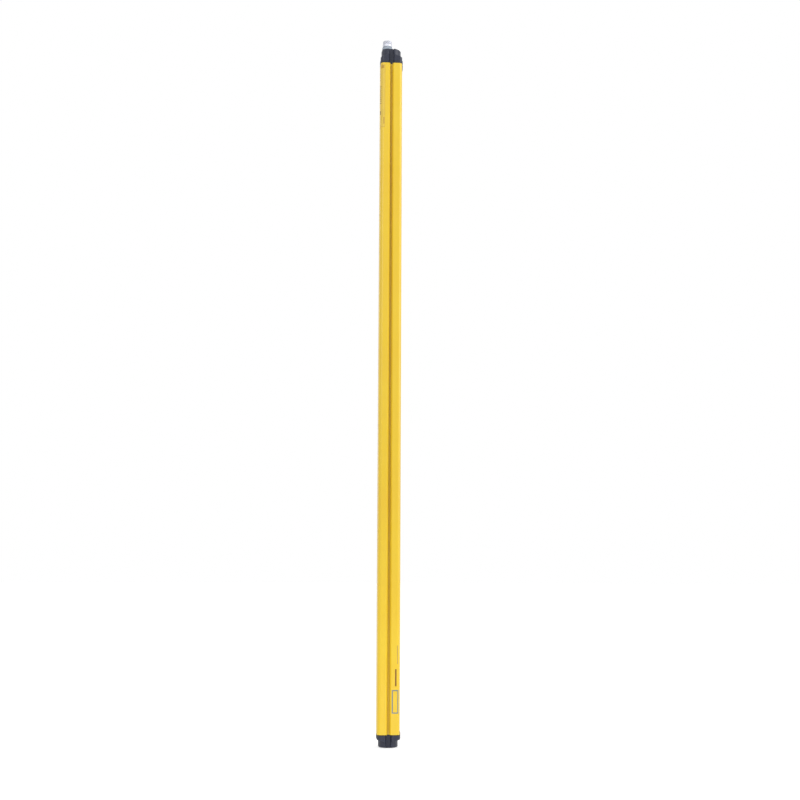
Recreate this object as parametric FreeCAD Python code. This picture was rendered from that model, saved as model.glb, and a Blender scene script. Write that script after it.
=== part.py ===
"""Safety light curtain, sender unit.

A tall yellow aluminium extrusion with a T-slot in both sides and in the back, a dark window down its front,
a black moulded cap on each end and a round plug-in connector on the top cap. Inside, four circuit boards
slide in the extrusion's guides and carry eight beam modules, each of a tube, a lens and an infrared LED.

Frame: +Z runs up the bar, the window faces -Y, and the origin is the centre of the bottom cap's end face.
All lengths are in millimetres.
"""

import FreeCAD, Part
import math
import os

from FreeCAD import Vector

# ---------------------------------------------------------------- driving dimensions

# Housing extrusion
HOUSING_WIDTH = 52.0  # across, X
HOUSING_DEPTH = 55.5  # front to back, Y
HOUSING_LENGTH = 1683.0
CORNER_RADIUS = 9.0
HOUSING_WALL = 2.0

# T-slots for sliding nuts: a V mouth, a parallel neck and a wider nut channel
SLOT_MOUTH = 12.0
SLOT_MOUTH_DEPTH = 3.2
SLOT_NECK = 6.0
SLOT_NECK_DEPTH = 2.0
NUT_CHANNEL = 10.5
NUT_CHANNEL_DEPTH = 4.5
NUT_ENTRY_CLEARANCE = 0.2  # how much wider and deeper the caps' nut entries are than the channel
NUT_ENTRY_MOUTH = 15.2  # width of a cap's nut entry at the outside

# Front window, held between the front lips on two seals
WINDOW_MARGIN = 10.0  # from each side of the housing to the window
WINDOW_THICKNESS = 3.0
WINDOW_RECESS = 0.8  # below the front face
WINDOW_SIDE_GAP = 0.3
SEAL_THICKNESS = 1.0
SEAL_WIDTH = 2.4
LEDGE_WIDTH = 3.0
LEDGE_THICKNESS = 2.0

# Ports for the cap screws
SCREW_INSET = 6.2  # from the side and front or back faces to each screw's axis
PORT_WALL = 1.8
PORT_SLIT = 1.4

# Cap screws
SCREW_RADIUS = 2.0
SCREW_THREAD_CLEARANCE = 0.05
SCREW_ENGAGEMENT = 12.0  # length in the housing
SCREW_HEAD_RADIUS = 3.4
SCREW_HEAD_HEIGHT = 2.6
SCREW_HOLE_CLEARANCE = 0.3
SCREW_HEAD_CLEARANCE = 0.4

# End caps. Heights are measured from the housing's end face.
GASKET_THICKNESS = 1.5
TOP_SHOULDER_HEIGHT = 23.0
TOP_STUB_HEIGHT = 39.5
TOP_STUB_INSET = 1.0  # from the housing's sides to the stub
TOP_BOSS_HEIGHT = 3.5
BOTTOM_SHOULDER_HEIGHT = 17.0
BOTTOM_STUB_HEIGHT = 30.0
BOTTOM_STUB_INSET = 2.0
BOTTOM_BOSS_HEIGHT = 1.6
SHOULDER_CREST = 20.0  # width of the shoulder's level middle, from front to back
SHOULDER_FALL = 6.0  # from the crest to the front and back edges
SHOULDER_EDGE = 1.2  # radius of its rim
STUB_EDGE = 1.4
BOSS_RADIUS = 13.5
BOSS_EDGE = 0.8
CAP_WALL = 2.6
CAP_ROOF = 3.0
SCREW_SEAT_HEIGHT = 8.0  # of cap under each screw head

# Lip of each cap over the end of the window
LIP_SIDE_GAP = 0.5  # from each side of the window to the lip
LIP_TAPER = 1.5  # how far each flank leans in
LIP_PROUD = 1.6
LIP_END_SLOPE = 3.0  # length of each thinned end over its rise
LIP_ON_CAP = 12.0
TOP_LIP_ON_WINDOW = 18.0
BOTTOM_LIP_ON_WINDOW = 11.0
LIP_CLEARANCE = 0.1

# Round connector, M23 x 1 coupling thread, with a ring of contacts round a middle one
CONNECTOR_INSET = 15.2  # from the back of the top stub to the connector's axis
CONNECTOR_FLANGE_RIM = 1.9  # past the thread
CONNECTOR_FLANGE_THICKNESS = 2.6
CONNECTOR_HEX_HEIGHT = 4.4
CONNECTOR_COLLAR_STEP = 0.2  # of the collar, inside the thread
CONNECTOR_COLLAR_LENGTH = 6.2
CONNECTOR_RELIEF_DEPTH = 0.7  # below the thread
CONNECTOR_RELIEF_LENGTH = 1.2  # one below the collar and one above it
CONNECTOR_THREAD_RADIUS = 11.5
CONNECTOR_THREAD_LENGTH = 6.6
CONNECTOR_LEAD_LENGTH = 1.3
CONNECTOR_SLEEVE_WALL = 1.2  # at the reliefs
CONNECTOR_SHANK_RADIUS = 9.0
CONNECTOR_SHANK_WALL = 1.6
CONNECTOR_SHANK_LENGTH = 16.0
SHANK_CLEARANCE = 0.2
LOCK_NUT_WALL = 1.5  # at its flats
LOCK_NUT_THICKNESS = 4.0
LOCK_NUT_CLEARANCE = 0.2  # round its corners, inside the cap
SEAL_RING_WIDTH = 2.4
SEAL_RING_THICKNESS = 1.4
PAD_RIM = 0.5  # of the cap's pad around the flange
INSERT_THICKNESS = 6.0
INSERT_RISE = 0.6  # of the insert's underside above the hexagon's foot
CONTACT_RADIUS = 1.0
CONTACT_HEIGHT = 9.0
CONTACT_TAIL = 4.0
RING_CONTACTS = 6
CONTACT_CIRCLE_RADIUS = 5.2

# Circuit boards
BOARD_THICKNESS = 1.6
BOARD_BEHIND_AXIS = 12.0
BOARD_EDGE_CLEARANCE = 0.3
BOARD_END_CLEARANCE = 4.0
BOARD_JOINT_GAP = 2.0
GUIDE_LENGTH = 4.0
GUIDE_THICKNESS = 1.2
GUIDE_CLEARANCE = 0.15
BEAMS_PER_BOARD = 2

# Beam modules
BEAM_COUNT = 8
FIRST_BEAM_HEIGHT = 60.0  # above the housing's lower end
LAST_BEAM_DEPTH = 83.0  # below the housing's upper end
LENS_INSET = 1.5  # from the sides of the window opening to the lens
LENS_EDGE = 2.2
LENS_DOME = 3.0
LENS_CLEARANCE = 0.1
LENS_TO_LEDGE = 0.5  # from the tube's mouth to the ledges
TUBE_WALL = 1.4
TUBE_SEAT_WIDTH = 1.0
TUBE_REAR_RADIUS = 6.0
LED_SIZE = 5.0
LED_THICKNESS = 2.4

# Smaller parts on the boards
LINK_WIDTH = 14.0
LINK_DEPTH = 4.5
LINK_LENGTH = 12.0
PROCESSOR_SIZE = 12.0
PROCESSOR_THICKNESS = 1.4
PROCESSOR_SPACING = 26.0
POWER_MODULE_WIDTH = 18.0
POWER_MODULE_DEPTH = 8.0
POWER_MODULE_LENGTH = 26.0
HEADER_WIDTH = 22.0
HEADER_DEPTH = 6.0
HEADER_LENGTH = 7.0
BUNDLE_RADIUS = 2.4
DISPLAY_WIDTH = 8.0
DISPLAY_HEIGHT = 11.0
DISPLAY_THICKNESS = 4.0
DISPLAY_TO_WINDOW = 1.2
DISPLAY_CLEARANCE = 0.3  # from the display's holder to the beam tube below it
HOLDER_WALL = 1.2

# ---------------------------------------------------------------- places worked out from them

HALF_WIDTH = HOUSING_WIDTH / 2
HALF_DEPTH = HOUSING_DEPTH / 2
SLOT_DEPTH = SLOT_MOUTH_DEPTH + SLOT_NECK_DEPTH + NUT_CHANNEL_DEPTH

HOUSING_BOTTOM = BOTTOM_STUB_HEIGHT + BOTTOM_BOSS_HEIGHT
HOUSING_TOP = HOUSING_BOTTOM + HOUSING_LENGTH

WINDOW_WIDTH = HOUSING_WIDTH - 2 * WINDOW_MARGIN
WINDOW_FRONT = -HALF_DEPTH + WINDOW_RECESS
WINDOW_BACK = WINDOW_FRONT + WINDOW_THICKNESS
LEDGE_FRONT = WINDOW_BACK + SEAL_THICKNESS
LEDGE_BACK = LEDGE_FRONT + LEDGE_THICKNESS
WINDOW_CHANNEL = WINDOW_WIDTH + 2 * WINDOW_SIDE_GAP
WINDOW_OPENING = WINDOW_WIDTH - 2 * LEDGE_WIDTH
LENS_RADIUS = WINDOW_OPENING / 2 - LENS_INSET

BOARD_FRONT = BOARD_BEHIND_AXIS - BOARD_THICKNESS / 2
BOARD_BACK = BOARD_BEHIND_AXIS + BOARD_THICKNESS / 2
BOARD_WIDTH = HOUSING_WIDTH - 2 * HOUSING_WALL - 2 * BOARD_EDGE_CLEARANCE
BEAM_PITCH = (HOUSING_LENGTH - FIRST_BEAM_HEIGHT - LAST_BEAM_DEPTH) / (BEAM_COUNT - 1)
BEAM_HEIGHTS = [HOUSING_BOTTOM + FIRST_BEAM_HEIGHT + i * BEAM_PITCH for i in range(BEAM_COUNT)]
BOARD_COUNT = math.ceil(BEAM_COUNT / BEAMS_PER_BOARD)

TUBE_MOUTH = LEDGE_BACK + LENS_TO_LEDGE
TUBE_RADIUS = LENS_RADIUS + LENS_CLEARANCE + TUBE_WALL
LENS_BACK = TUBE_MOUTH + LENS_EDGE

TOP_STUB_RADIUS = HALF_WIDTH - TOP_STUB_INSET
BOTTOM_STUB_RADIUS = HALF_WIDTH - BOTTOM_STUB_INSET
CONNECTOR_OFFSET = TOP_STUB_RADIUS - CONNECTOR_INSET
FLANGE_RADIUS = CONNECTOR_THREAD_RADIUS + CONNECTOR_FLANGE_RIM
CONNECTOR_HEX_ACROSS = 2 * CONNECTOR_THREAD_RADIUS
COLLAR_RADIUS = CONNECTOR_THREAD_RADIUS - CONNECTOR_COLLAR_STEP
RELIEF_RADIUS = CONNECTOR_THREAD_RADIUS - CONNECTOR_RELIEF_DEPTH
SLEEVE_BORE_RADIUS = RELIEF_RADIUS - CONNECTOR_SLEEVE_WALL
SHANK_BORE_RADIUS = CONNECTOR_SHANK_RADIUS - CONNECTOR_SHANK_WALL
LOCK_NUT_ACROSS = 2 * (CONNECTOR_SHANK_RADIUS + LOCK_NUT_WALL)
PAD_RADIUS = FLANGE_RADIUS + PAD_RIM
CAP_TOP = HOUSING_TOP + TOP_STUB_HEIGHT + TOP_BOSS_HEIGHT
ROOF_UNDERSIDE = HOUSING_TOP + TOP_STUB_HEIGHT - CAP_ROOF
HEX_FOOT = CAP_TOP + CONNECTOR_FLANGE_THICKNESS
HEX_TOP = HEX_FOOT + CONNECTOR_HEX_HEIGHT
COLLAR_FOOT = HEX_TOP + CONNECTOR_RELIEF_LENGTH
THREAD_FOOT = COLLAR_FOOT + CONNECTOR_COLLAR_LENGTH + CONNECTOR_RELIEF_LENGTH
THREAD_TOP = THREAD_FOOT + CONNECTOR_THREAD_LENGTH
SLEEVE_TOP = THREAD_TOP + CONNECTOR_LEAD_LENGTH
INSERT_BOTTOM = HEX_FOOT + INSERT_RISE

EXTRA = 1.0  # how far a cutting shape runs past what it cuts


# ---------------------------------------------------------------- shape helpers


def flat(points):
    """A flat face in the XY plane through the given (x, y) corners."""
    corners = [Vector(x, y, 0) for x, y in points]
    return Part.Face(Part.makePolygon(corners + corners[:1]))


def rectangle(x0, x1, y0, y1):
    return flat([(x0, y0), (x1, y0), (x1, y1), (x0, y1)])


def rounded_rectangle(width, depth, radius):
    """A flat face of the given size, centred on the Z axis, with rounded corners."""
    x, y, r = width / 2, depth / 2, radius
    k = r * (1 - math.sqrt(0.5))  # from the corner's lines to the middle of its arc
    sides = [
        ((-x + r, -y), (x - r, -y), (x - k, -y + k)),
        ((x, -y + r), (x, y - r), (x - k, y - k)),
        ((x - r, y), (-x + r, y), (-x + k, y - k)),
        ((-x, y - r), (-x, -y + r), (-x + k, -y + k)),
    ]
    edges = []
    for i, (start, end, corner) in enumerate(sides):
        after = sides[(i + 1) % len(sides)][0]
        edges.append(Part.makeLine(Vector(*start, 0), Vector(*end, 0)))
        edges.append(Part.Arc(Vector(*end, 0), Vector(*corner, 0), Vector(*after, 0)).toShape())
    return Part.Face(Part.Wire(edges))


def disc(radius, x=0.0, y=0.0):
    return Part.Face(Part.Wire(Part.makeCircle(radius, Vector(x, y, 0))))


def raised(face, bottom, top):
    """The flat face as a prism between two heights."""
    solid = face.extrude(Vector(0, 0, top - bottom))
    solid.translate(Vector(0, 0, bottom))
    return solid


def block(x0, x1, y0, y1, z0, z1):
    return Part.makeBox(x1 - x0, y1 - y0, z1 - z0, Vector(x0, y0, z0))


def turned(points, x=0.0, y=0.0):
    """A solid turned about a vertical axis at x, y, from its (radius, height) outline."""
    corners = [Vector(r, 0, z) for r, z in points]
    face = Part.Face(Part.makePolygon(corners + corners[:1]))
    solid = face.revolve(Vector(0, 0, 0), Vector(0, 0, 1), 360)
    solid.translate(Vector(x, y, 0))
    return solid


def turned_forward(points, height):
    """A solid turned about the beam axis at a height, from its (radius, y) outline."""
    corners = [Vector(r, y, height) for r, y in points]
    face = Part.Face(Part.makePolygon(corners + corners[:1]))
    return face.revolve(Vector(0, 0, height), Vector(0, 1, 0), 360)


def hexagon_reach(across_flats):
    """The distance from a hexagon's middle to its corners."""
    return across_flats / math.sqrt(3)


def hexagon(across_flats, x, y):
    """A flat hexagon about x, y with a corner to the back and one to the front."""
    radius = hexagon_reach(across_flats)
    angles = [math.radians(90 + 60 * i) for i in range(6)]
    return flat([(x + radius * math.cos(a), y + radius * math.sin(a)) for a in angles])


def turned_about_z(shape, degrees):
    return shape.rotate(Vector(0, 0, 0), Vector(0, 0, 1), degrees)


def one_solid(shape):
    """The boolean result as a plain solid with its split faces merged."""
    merged = shape.removeSplitter()
    if len(merged.Solids) != 1:
        raise ValueError("expected one solid, got %d" % len(merged.Solids))
    return merged.Solids[0]


def save(name, shape):
    shape.exportStep(os.path.join("parts", name + ".step"))


def upended(shape):
    """A cap part built for the top end, turned over for the bottom end and moved there."""
    flipped = shape.mirror(Vector(0, 0, 0), Vector(0, 0, 1))
    flipped.translate(Vector(0, 0, HOUSING_BOTTOM))
    return flipped


def at_top(shape):
    moved = shape.copy()
    moved.translate(Vector(0, 0, HOUSING_TOP))
    return moved


def screw_places():
    x, y = HALF_WIDTH - SCREW_INSET, HALF_DEPTH - SCREW_INSET
    return [(-x, -y), (x, -y), (x, y), (-x, y)]


# ---------------------------------------------------------------- housing


def slot_sides(*names):
    """For each named side with a T-slot, its turn in degrees and its face's distance from the axis."""
    sides = {"left": (180, HALF_WIDTH), "right": (0, HALF_WIDTH), "back": (90, HALF_DEPTH)}
    return [sides[name] for name in names]


def slot_section(face_distance, degrees):
    """The open section of one T-slot, cut inwards from a face at that distance from the axis."""
    face = face_distance
    neck, channel = face - SLOT_MOUTH_DEPTH, face - SLOT_MOUTH_DEPTH - SLOT_NECK_DEPTH
    floor = face - SLOT_DEPTH
    half = [(face + EXTRA, SLOT_MOUTH / 2), (face, SLOT_MOUTH / 2), (neck, SLOT_NECK / 2)]
    half += [(channel, SLOT_NECK / 2), (channel, NUT_CHANNEL / 2), (floor, NUT_CHANNEL / 2)]
    outline = half + [(x, -y) for x, y in reversed(half)]
    return turned_about_z(flat(outline), degrees)


def slot_walls(face_distance, degrees):
    """The block of section that one T-slot is cut from."""
    floor = face_distance - SLOT_DEPTH - HOUSING_WALL
    half = NUT_CHANNEL / 2 + HOUSING_WALL
    return turned_about_z(rectangle(floor, face_distance - HOUSING_WALL / 2, -half, half), degrees)


def window_seat(side):
    """One front lip with its ledge behind the window; side is -1 or 1."""
    lip = WINDOW_CHANNEL / 2 + HOUSING_WALL
    xs = sorted([side * WINDOW_OPENING / 2, side * lip])
    return rectangle(xs[0], xs[1], -HALF_DEPTH + HOUSING_WALL / 2, LEDGE_BACK)


def board_guides(side):
    """The two ribs on one side wall that a board's edge slides between."""
    wall = HALF_WIDTH - HOUSING_WALL / 2
    tip = HALF_WIDTH - HOUSING_WALL - GUIDE_LENGTH
    xs = sorted([side * wall, side * tip])
    front, back = BOARD_FRONT - GUIDE_CLEARANCE, BOARD_BACK + GUIDE_CLEARANCE
    ribs = [(front - GUIDE_THICKNESS, front), (back, back + GUIDE_THICKNESS)]
    return [rectangle(xs[0], xs[1], y0, y1) for y0, y1 in ribs]


def port_slit(x, y):
    """The slit that leaves a screw port open towards the middle of the housing."""
    reach = SCREW_RADIUS + PORT_WALL + EXTRA
    inward = math.degrees(math.atan2(0, -x))
    slit = rectangle(0, reach, -PORT_SLIT / 2, PORT_SLIT / 2)
    slit = turned_about_z(slit, inward)
    slit.translate(Vector(x, y, 0))
    return slit


def housing_profile():
    outer = rounded_rectangle(HOUSING_WIDTH, HOUSING_DEPTH, CORNER_RADIUS)
    hollow = rounded_rectangle(
        HOUSING_WIDTH - 2 * HOUSING_WALL, HOUSING_DEPTH - 2 * HOUSING_WALL, CORNER_RADIUS - HOUSING_WALL
    )
    bars = [outer.cut(hollow)]
    slots = slot_sides("left", "right", "back")
    bars += [slot_walls(distance, degrees) for degrees, distance in slots]
    bars += [window_seat(-1), window_seat(1)]
    bars += board_guides(-1) + board_guides(1)
    bars += [disc(SCREW_RADIUS + PORT_WALL, x, y).common(outer) for x, y in screw_places()]
    grooves = [slot_section(distance, degrees) for degrees, distance in slots]
    half_channel = WINDOW_CHANNEL / 2
    grooves.append(rectangle(-half_channel, half_channel, -HALF_DEPTH - EXTRA, LEDGE_FRONT))
    half_opening = WINDOW_OPENING / 2
    grooves.append(rectangle(-half_opening, half_opening, -HALF_DEPTH, LEDGE_BACK + EXTRA))
    grooves += [disc(SCREW_RADIUS, x, y) for x, y in screw_places()]
    grooves += [port_slit(x, y) for x, y in screw_places() if y > 0]
    bars = [raised(face, HOUSING_BOTTOM, HOUSING_TOP) for face in bars]
    grooves = [raised(face, HOUSING_BOTTOM, HOUSING_TOP) for face in grooves]
    return one_solid(bars[0].fuse(bars[1:]).cut(grooves))


def front_window():
    half = WINDOW_WIDTH / 2
    return block(-half, half, WINDOW_FRONT, WINDOW_BACK, HOUSING_BOTTOM, HOUSING_TOP)


def window_seal(side):
    outer = side * (WINDOW_WIDTH / 2)
    xs = sorted([outer, outer - side * SEAL_WIDTH])
    return block(xs[0], xs[1], WINDOW_BACK, LEDGE_FRONT, HOUSING_BOTTOM, HOUSING_TOP)


# ------------------------------------------------------------ end caps, built up from a housing end at z = 0


def nut_entry(face_distance, degrees, bottom, top, wall=0.0):
    """The tapered notch that lets a sliding nut into a T-slot, thickened by a wall if one is given."""
    floor = face_distance - SLOT_DEPTH - NUT_ENTRY_CLEARANCE - wall
    inner = NUT_CHANNEL / 2 + NUT_ENTRY_CLEARANCE + wall
    outer = NUT_ENTRY_MOUTH / 2 + wall
    outside = face_distance + EXTRA
    section = flat([(floor, -inner), (face_distance, -outer), (outside, -outer), (outside, outer)] +
                   [(face_distance, outer), (floor, inner)])
    return raised(turned_about_z(section, degrees), bottom, top)


def back_v(bottom, top):
    """The shallow V that carries the back slot's mouth over a cap with no nut entry there."""
    neck = HALF_DEPTH - SLOT_MOUTH_DEPTH
    half = [(HALF_DEPTH + EXTRA, SLOT_MOUTH / 2), (HALF_DEPTH, SLOT_MOUTH / 2), (neck, SLOT_NECK / 2)]
    outline = half + [(x, -y) for x, y in reversed(half)]
    return raised(turned_about_z(flat(outline), 90), bottom, top)


def shoulder(height):
    """The block that follows the housing's outline, with a level crest and a fall to the front and back."""
    edge, half = height - SHOULDER_FALL, SHOULDER_CREST / 2
    side_view = [(-HALF_DEPTH, GASKET_THICKNESS), (HALF_DEPTH, GASKET_THICKNESS), (HALF_DEPTH, edge)]
    side_view += [(half, height), (-half, height), (-HALF_DEPTH, edge)]
    corners = [Vector(-HALF_WIDTH, y, z) for y, z in side_view]
    roof = Part.Face(Part.makePolygon(corners + corners[:1])).extrude(Vector(HOUSING_WIDTH, 0, 0))
    outline = rounded_rectangle(HOUSING_WIDTH, HOUSING_DEPTH, CORNER_RADIUS)
    solid = raised(outline, GASKET_THICKNESS, height).common(roof)
    upper = [edge for edge in solid.Edges if min(v.Z for v in edge.Vertexes) > GASKET_THICKNESS]
    rim = [edge for edge in upper if edge.BoundBox.XLength < HOUSING_WIDTH - CORNER_RADIUS]
    return solid.makeFillet(SHOULDER_EDGE, rim)


def cap_body(shoulder_height, stub_height, stub_radius, boss_height):
    """The shoulder, the round stub that a bracket grips, and the boss."""
    e, b = STUB_EDGE, BOSS_EDGE
    top = stub_height + boss_height
    stub = turned([(0, GASKET_THICKNESS), (stub_radius, GASKET_THICKNESS), (stub_radius, stub_height - e),
                   (stub_radius - e, stub_height), (BOSS_RADIUS, stub_height), (BOSS_RADIUS, top - b),
                   (BOSS_RADIUS - b, top), (0, top)])
    return shoulder(shoulder_height).fuse(stub)


def cap_hollow(stub_height, stub_radius, entries):
    """The round space inside a cap, leaving walls round its nut entries."""
    space = Part.makeCylinder(stub_radius - CAP_WALL, stub_height - CAP_ROOF)
    walls = [nut_entry(d, a, -EXTRA, stub_height, CAP_WALL) for a, d in entries]
    return space.cut(walls)


def window_lip(on_window):
    """The lip over the end of the window that hangs from a cap, with leaning flanks and thinned ends."""
    back, front = WINDOW_FRONT - LIP_CLEARANCE, -HALF_DEPTH - LIP_PROUD
    bottom, top = -on_window, GASKET_THICKNESS + LIP_ON_CAP
    wide = WINDOW_WIDTH / 2 - LIP_SIDE_GAP
    narrow = wide - LIP_TAPER
    bar = raised(flat([(-wide, back), (-narrow, front), (narrow, front), (wide, back)]), bottom, top)
    slope = LIP_END_SLOPE * LIP_PROUD
    side_view = [(back, bottom), (front, bottom + slope), (front, top - slope), (back, top)]
    corners = [Vector(-HALF_WIDTH, y, z) for y, z in side_view]
    profile = Part.Face(Part.makePolygon(corners + corners[:1])).extrude(Vector(HOUSING_WIDTH, 0, 0))
    return bar.common(profile)


def screw_cuts():
    """Clearance holes and deep head pockets for the four cap screws."""
    seat = GASKET_THICKNESS + SCREW_SEAT_HEIGHT
    cuts = []
    for x, y in screw_places():
        place = Vector(x, y, -EXTRA)
        cuts.append(Part.makeCylinder(SCREW_RADIUS + SCREW_HOLE_CLEARANCE, seat + 2 * EXTRA, place))
        place = Vector(x, y, seat)
        cuts.append(Part.makeCylinder(SCREW_HEAD_RADIUS + SCREW_HEAD_CLEARANCE, TOP_STUB_HEIGHT, place))
    return cuts


def bottom_cap():
    entries = slot_sides("left", "right", "back")
    height = BOTTOM_STUB_HEIGHT + BOTTOM_BOSS_HEIGHT
    body = cap_body(BOTTOM_SHOULDER_HEIGHT, BOTTOM_STUB_HEIGHT, BOTTOM_STUB_RADIUS, BOTTOM_BOSS_HEIGHT)
    body = body.fuse(window_lip(BOTTOM_LIP_ON_WINDOW))
    cuts = [nut_entry(d, a, 0, height) for a, d in entries]
    cuts += screw_cuts() + [cap_hollow(BOTTOM_STUB_HEIGHT, BOTTOM_STUB_RADIUS, entries)]
    return one_solid(body.cut(cuts))


def top_cap():
    entries = slot_sides("left", "right")
    height = TOP_STUB_HEIGHT + TOP_BOSS_HEIGHT
    pad = turned([(0, GASKET_THICKNESS), (PAD_RADIUS, GASKET_THICKNESS), (PAD_RADIUS, height - BOSS_EDGE),
                  (PAD_RADIUS - BOSS_EDGE, height), (0, height)], 0, CONNECTOR_OFFSET)
    body = cap_body(TOP_SHOULDER_HEIGHT, TOP_STUB_HEIGHT, TOP_STUB_RADIUS, TOP_BOSS_HEIGHT)
    body = body.fuse([pad, window_lip(TOP_LIP_ON_WINDOW)])
    cuts = [nut_entry(d, a, 0, height) for a, d in entries]
    cuts += [back_v(0, TOP_SHOULDER_HEIGHT)]
    cuts += screw_cuts() + [cap_hollow(TOP_STUB_HEIGHT, TOP_STUB_RADIUS, entries)]
    foot = Vector(0, CONNECTOR_OFFSET, 0)
    cuts.append(Part.makeCylinder(CONNECTOR_SHANK_RADIUS + SHANK_CLEARANCE, height + EXTRA, foot))
    nut_reach = hexagon_reach(LOCK_NUT_ACROSS) + LOCK_NUT_CLEARANCE
    cuts.append(Part.makeCylinder(nut_reach, TOP_STUB_HEIGHT - CAP_ROOF, foot))
    return one_solid(body.cut(cuts))


def gasket(entries, stub_radius, shallow_back):
    """The flat seal between the housing and a cap, with the cap's own outline."""
    top = GASKET_THICKNESS
    sheet = raised(rounded_rectangle(HOUSING_WIDTH, HOUSING_DEPTH, CORNER_RADIUS), 0, top)
    cuts = [nut_entry(d, a, -EXTRA, top + EXTRA) for a, d in entries]
    if shallow_back:
        cuts.append(back_v(-EXTRA, top + EXTRA))
    hollow = cap_hollow(TOP_STUB_HEIGHT, stub_radius, entries)
    hollow.translate(Vector(0, 0, -EXTRA))
    cuts.append(hollow)
    hole = SCREW_RADIUS + SCREW_HOLE_CLEARANCE
    cuts += [Part.makeCylinder(hole, top + 2 * EXTRA, Vector(x, y, -EXTRA)) for x, y in screw_places()]
    half_lip = WINDOW_WIDTH / 2
    cuts.append(block(-half_lip, half_lip, -HALF_DEPTH - EXTRA, WINDOW_FRONT, -EXTRA, top + EXTRA))
    return one_solid(sheet.cut(cuts))


def cap_screws():
    """Four screws, as they stand in a cap on the top end."""
    seat = GASKET_THICKNESS + SCREW_SEAT_HEIGHT
    shank = SCREW_RADIUS - SCREW_THREAD_CLEARANCE
    top = seat + SCREW_HEAD_HEIGHT
    outline = [(0, -SCREW_ENGAGEMENT), (shank, -SCREW_ENGAGEMENT), (shank, seat), (SCREW_HEAD_RADIUS, seat),
               (SCREW_HEAD_RADIUS, top), (0, top)]
    return Part.makeCompound([turned(outline, x, y) for x, y in screw_places()])


# ---------------------------------------------------------------- connector


def connector_shell():
    """One turned piece: shank, flange, hexagon, and the sleeve with its collar and coupling thread."""
    collar_top = COLLAR_FOOT + CONNECTOR_COLLAR_LENGTH
    outline = [
        (SHANK_BORE_RADIUS, CAP_TOP - CONNECTOR_SHANK_LENGTH),
        (CONNECTOR_SHANK_RADIUS, CAP_TOP - CONNECTOR_SHANK_LENGTH),
        (CONNECTOR_SHANK_RADIUS, CAP_TOP + SEAL_RING_THICKNESS),
        (CONNECTOR_SHANK_RADIUS + SEAL_RING_WIDTH, CAP_TOP + SEAL_RING_THICKNESS),
        (CONNECTOR_SHANK_RADIUS + SEAL_RING_WIDTH, CAP_TOP),
        (FLANGE_RADIUS, CAP_TOP),
        (FLANGE_RADIUS, HEX_FOOT),
        (RELIEF_RADIUS, HEX_FOOT),
        (RELIEF_RADIUS, COLLAR_FOOT),
        (COLLAR_RADIUS, COLLAR_FOOT),
        (COLLAR_RADIUS, collar_top),
        (RELIEF_RADIUS, collar_top),
        (RELIEF_RADIUS, THREAD_FOOT),
        (CONNECTOR_THREAD_RADIUS, THREAD_FOOT),
        (CONNECTOR_THREAD_RADIUS, THREAD_TOP),
        (RELIEF_RADIUS, SLEEVE_TOP),
        (SLEEVE_BORE_RADIUS, SLEEVE_TOP),
        (SLEEVE_BORE_RADIUS, INSERT_BOTTOM),
        (SHANK_BORE_RADIUS, INSERT_BOTTOM),
    ]
    shell = turned(outline, 0, CONNECTOR_OFFSET)
    nut = raised(hexagon(CONNECTOR_HEX_ACROSS, 0, CONNECTOR_OFFSET), HEX_FOOT, HEX_TOP)
    corner_radius = hexagon_reach(CONNECTOR_HEX_ACROSS)
    bevel = corner_radius - CONNECTOR_HEX_ACROSS / 2
    rounder = turned([(0, HEX_FOOT), (corner_radius, HEX_FOOT), (corner_radius, HEX_TOP - bevel / 2),
                      (corner_radius - bevel, HEX_TOP), (0, HEX_TOP)], 0, CONNECTOR_OFFSET)
    foot = Vector(0, CONNECTOR_OFFSET, HEX_FOOT)
    bore = Part.makeCylinder(SLEEVE_BORE_RADIUS, CONNECTOR_HEX_HEIGHT, foot)
    return one_solid(shell.fuse(nut.common(rounder).cut(bore)))


def connector_seal():
    """The flat ring that seals the shell's flange to the cap."""
    inner, outer = CONNECTOR_SHANK_RADIUS, CONNECTOR_SHANK_RADIUS + SEAL_RING_WIDTH
    return turned([(inner, CAP_TOP), (outer, CAP_TOP), (outer, CAP_TOP + SEAL_RING_THICKNESS),
                   (inner, CAP_TOP + SEAL_RING_THICKNESS)], 0, CONNECTOR_OFFSET)


def connector_lock_nut():
    foot = ROOF_UNDERSIDE - LOCK_NUT_THICKNESS
    body = raised(hexagon(LOCK_NUT_ACROSS, 0, CONNECTOR_OFFSET), foot, ROOF_UNDERSIDE)
    hole = Part.makeCylinder(CONNECTOR_SHANK_RADIUS, LOCK_NUT_THICKNESS, Vector(0, CONNECTOR_OFFSET, foot))
    return one_solid(body.cut(hole))


def contact_places():
    angles = [2 * math.pi * i / RING_CONTACTS for i in range(RING_CONTACTS)]
    ring = [(CONTACT_CIRCLE_RADIUS * math.cos(a), CONNECTOR_OFFSET + CONTACT_CIRCLE_RADIUS * math.sin(a))
            for a in angles]
    return [(0, CONNECTOR_OFFSET)] + ring


def connector_insert():
    """The contact carrier: a disc that rests on the shell's inner step."""
    foot = Vector(0, CONNECTOR_OFFSET, INSERT_BOTTOM)
    disc_body = Part.makeCylinder(SLEEVE_BORE_RADIUS, INSERT_THICKNESS, foot)
    holes = [Part.makeCylinder(CONTACT_RADIUS, INSERT_THICKNESS, Vector(x, y, INSERT_BOTTOM))
             for x, y in contact_places()]
    return one_solid(disc_body.cut(holes))


def contact_pins():
    length = CONTACT_TAIL + INSERT_THICKNESS + CONTACT_HEIGHT
    foot = INSERT_BOTTOM - CONTACT_TAIL
    pins = [Part.makeCylinder(CONTACT_RADIUS, length, Vector(x, y, foot)) for x, y in contact_places()]
    return Part.makeCompound(pins)


# ---------------------------------------------------------------- boards and what they carry


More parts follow.
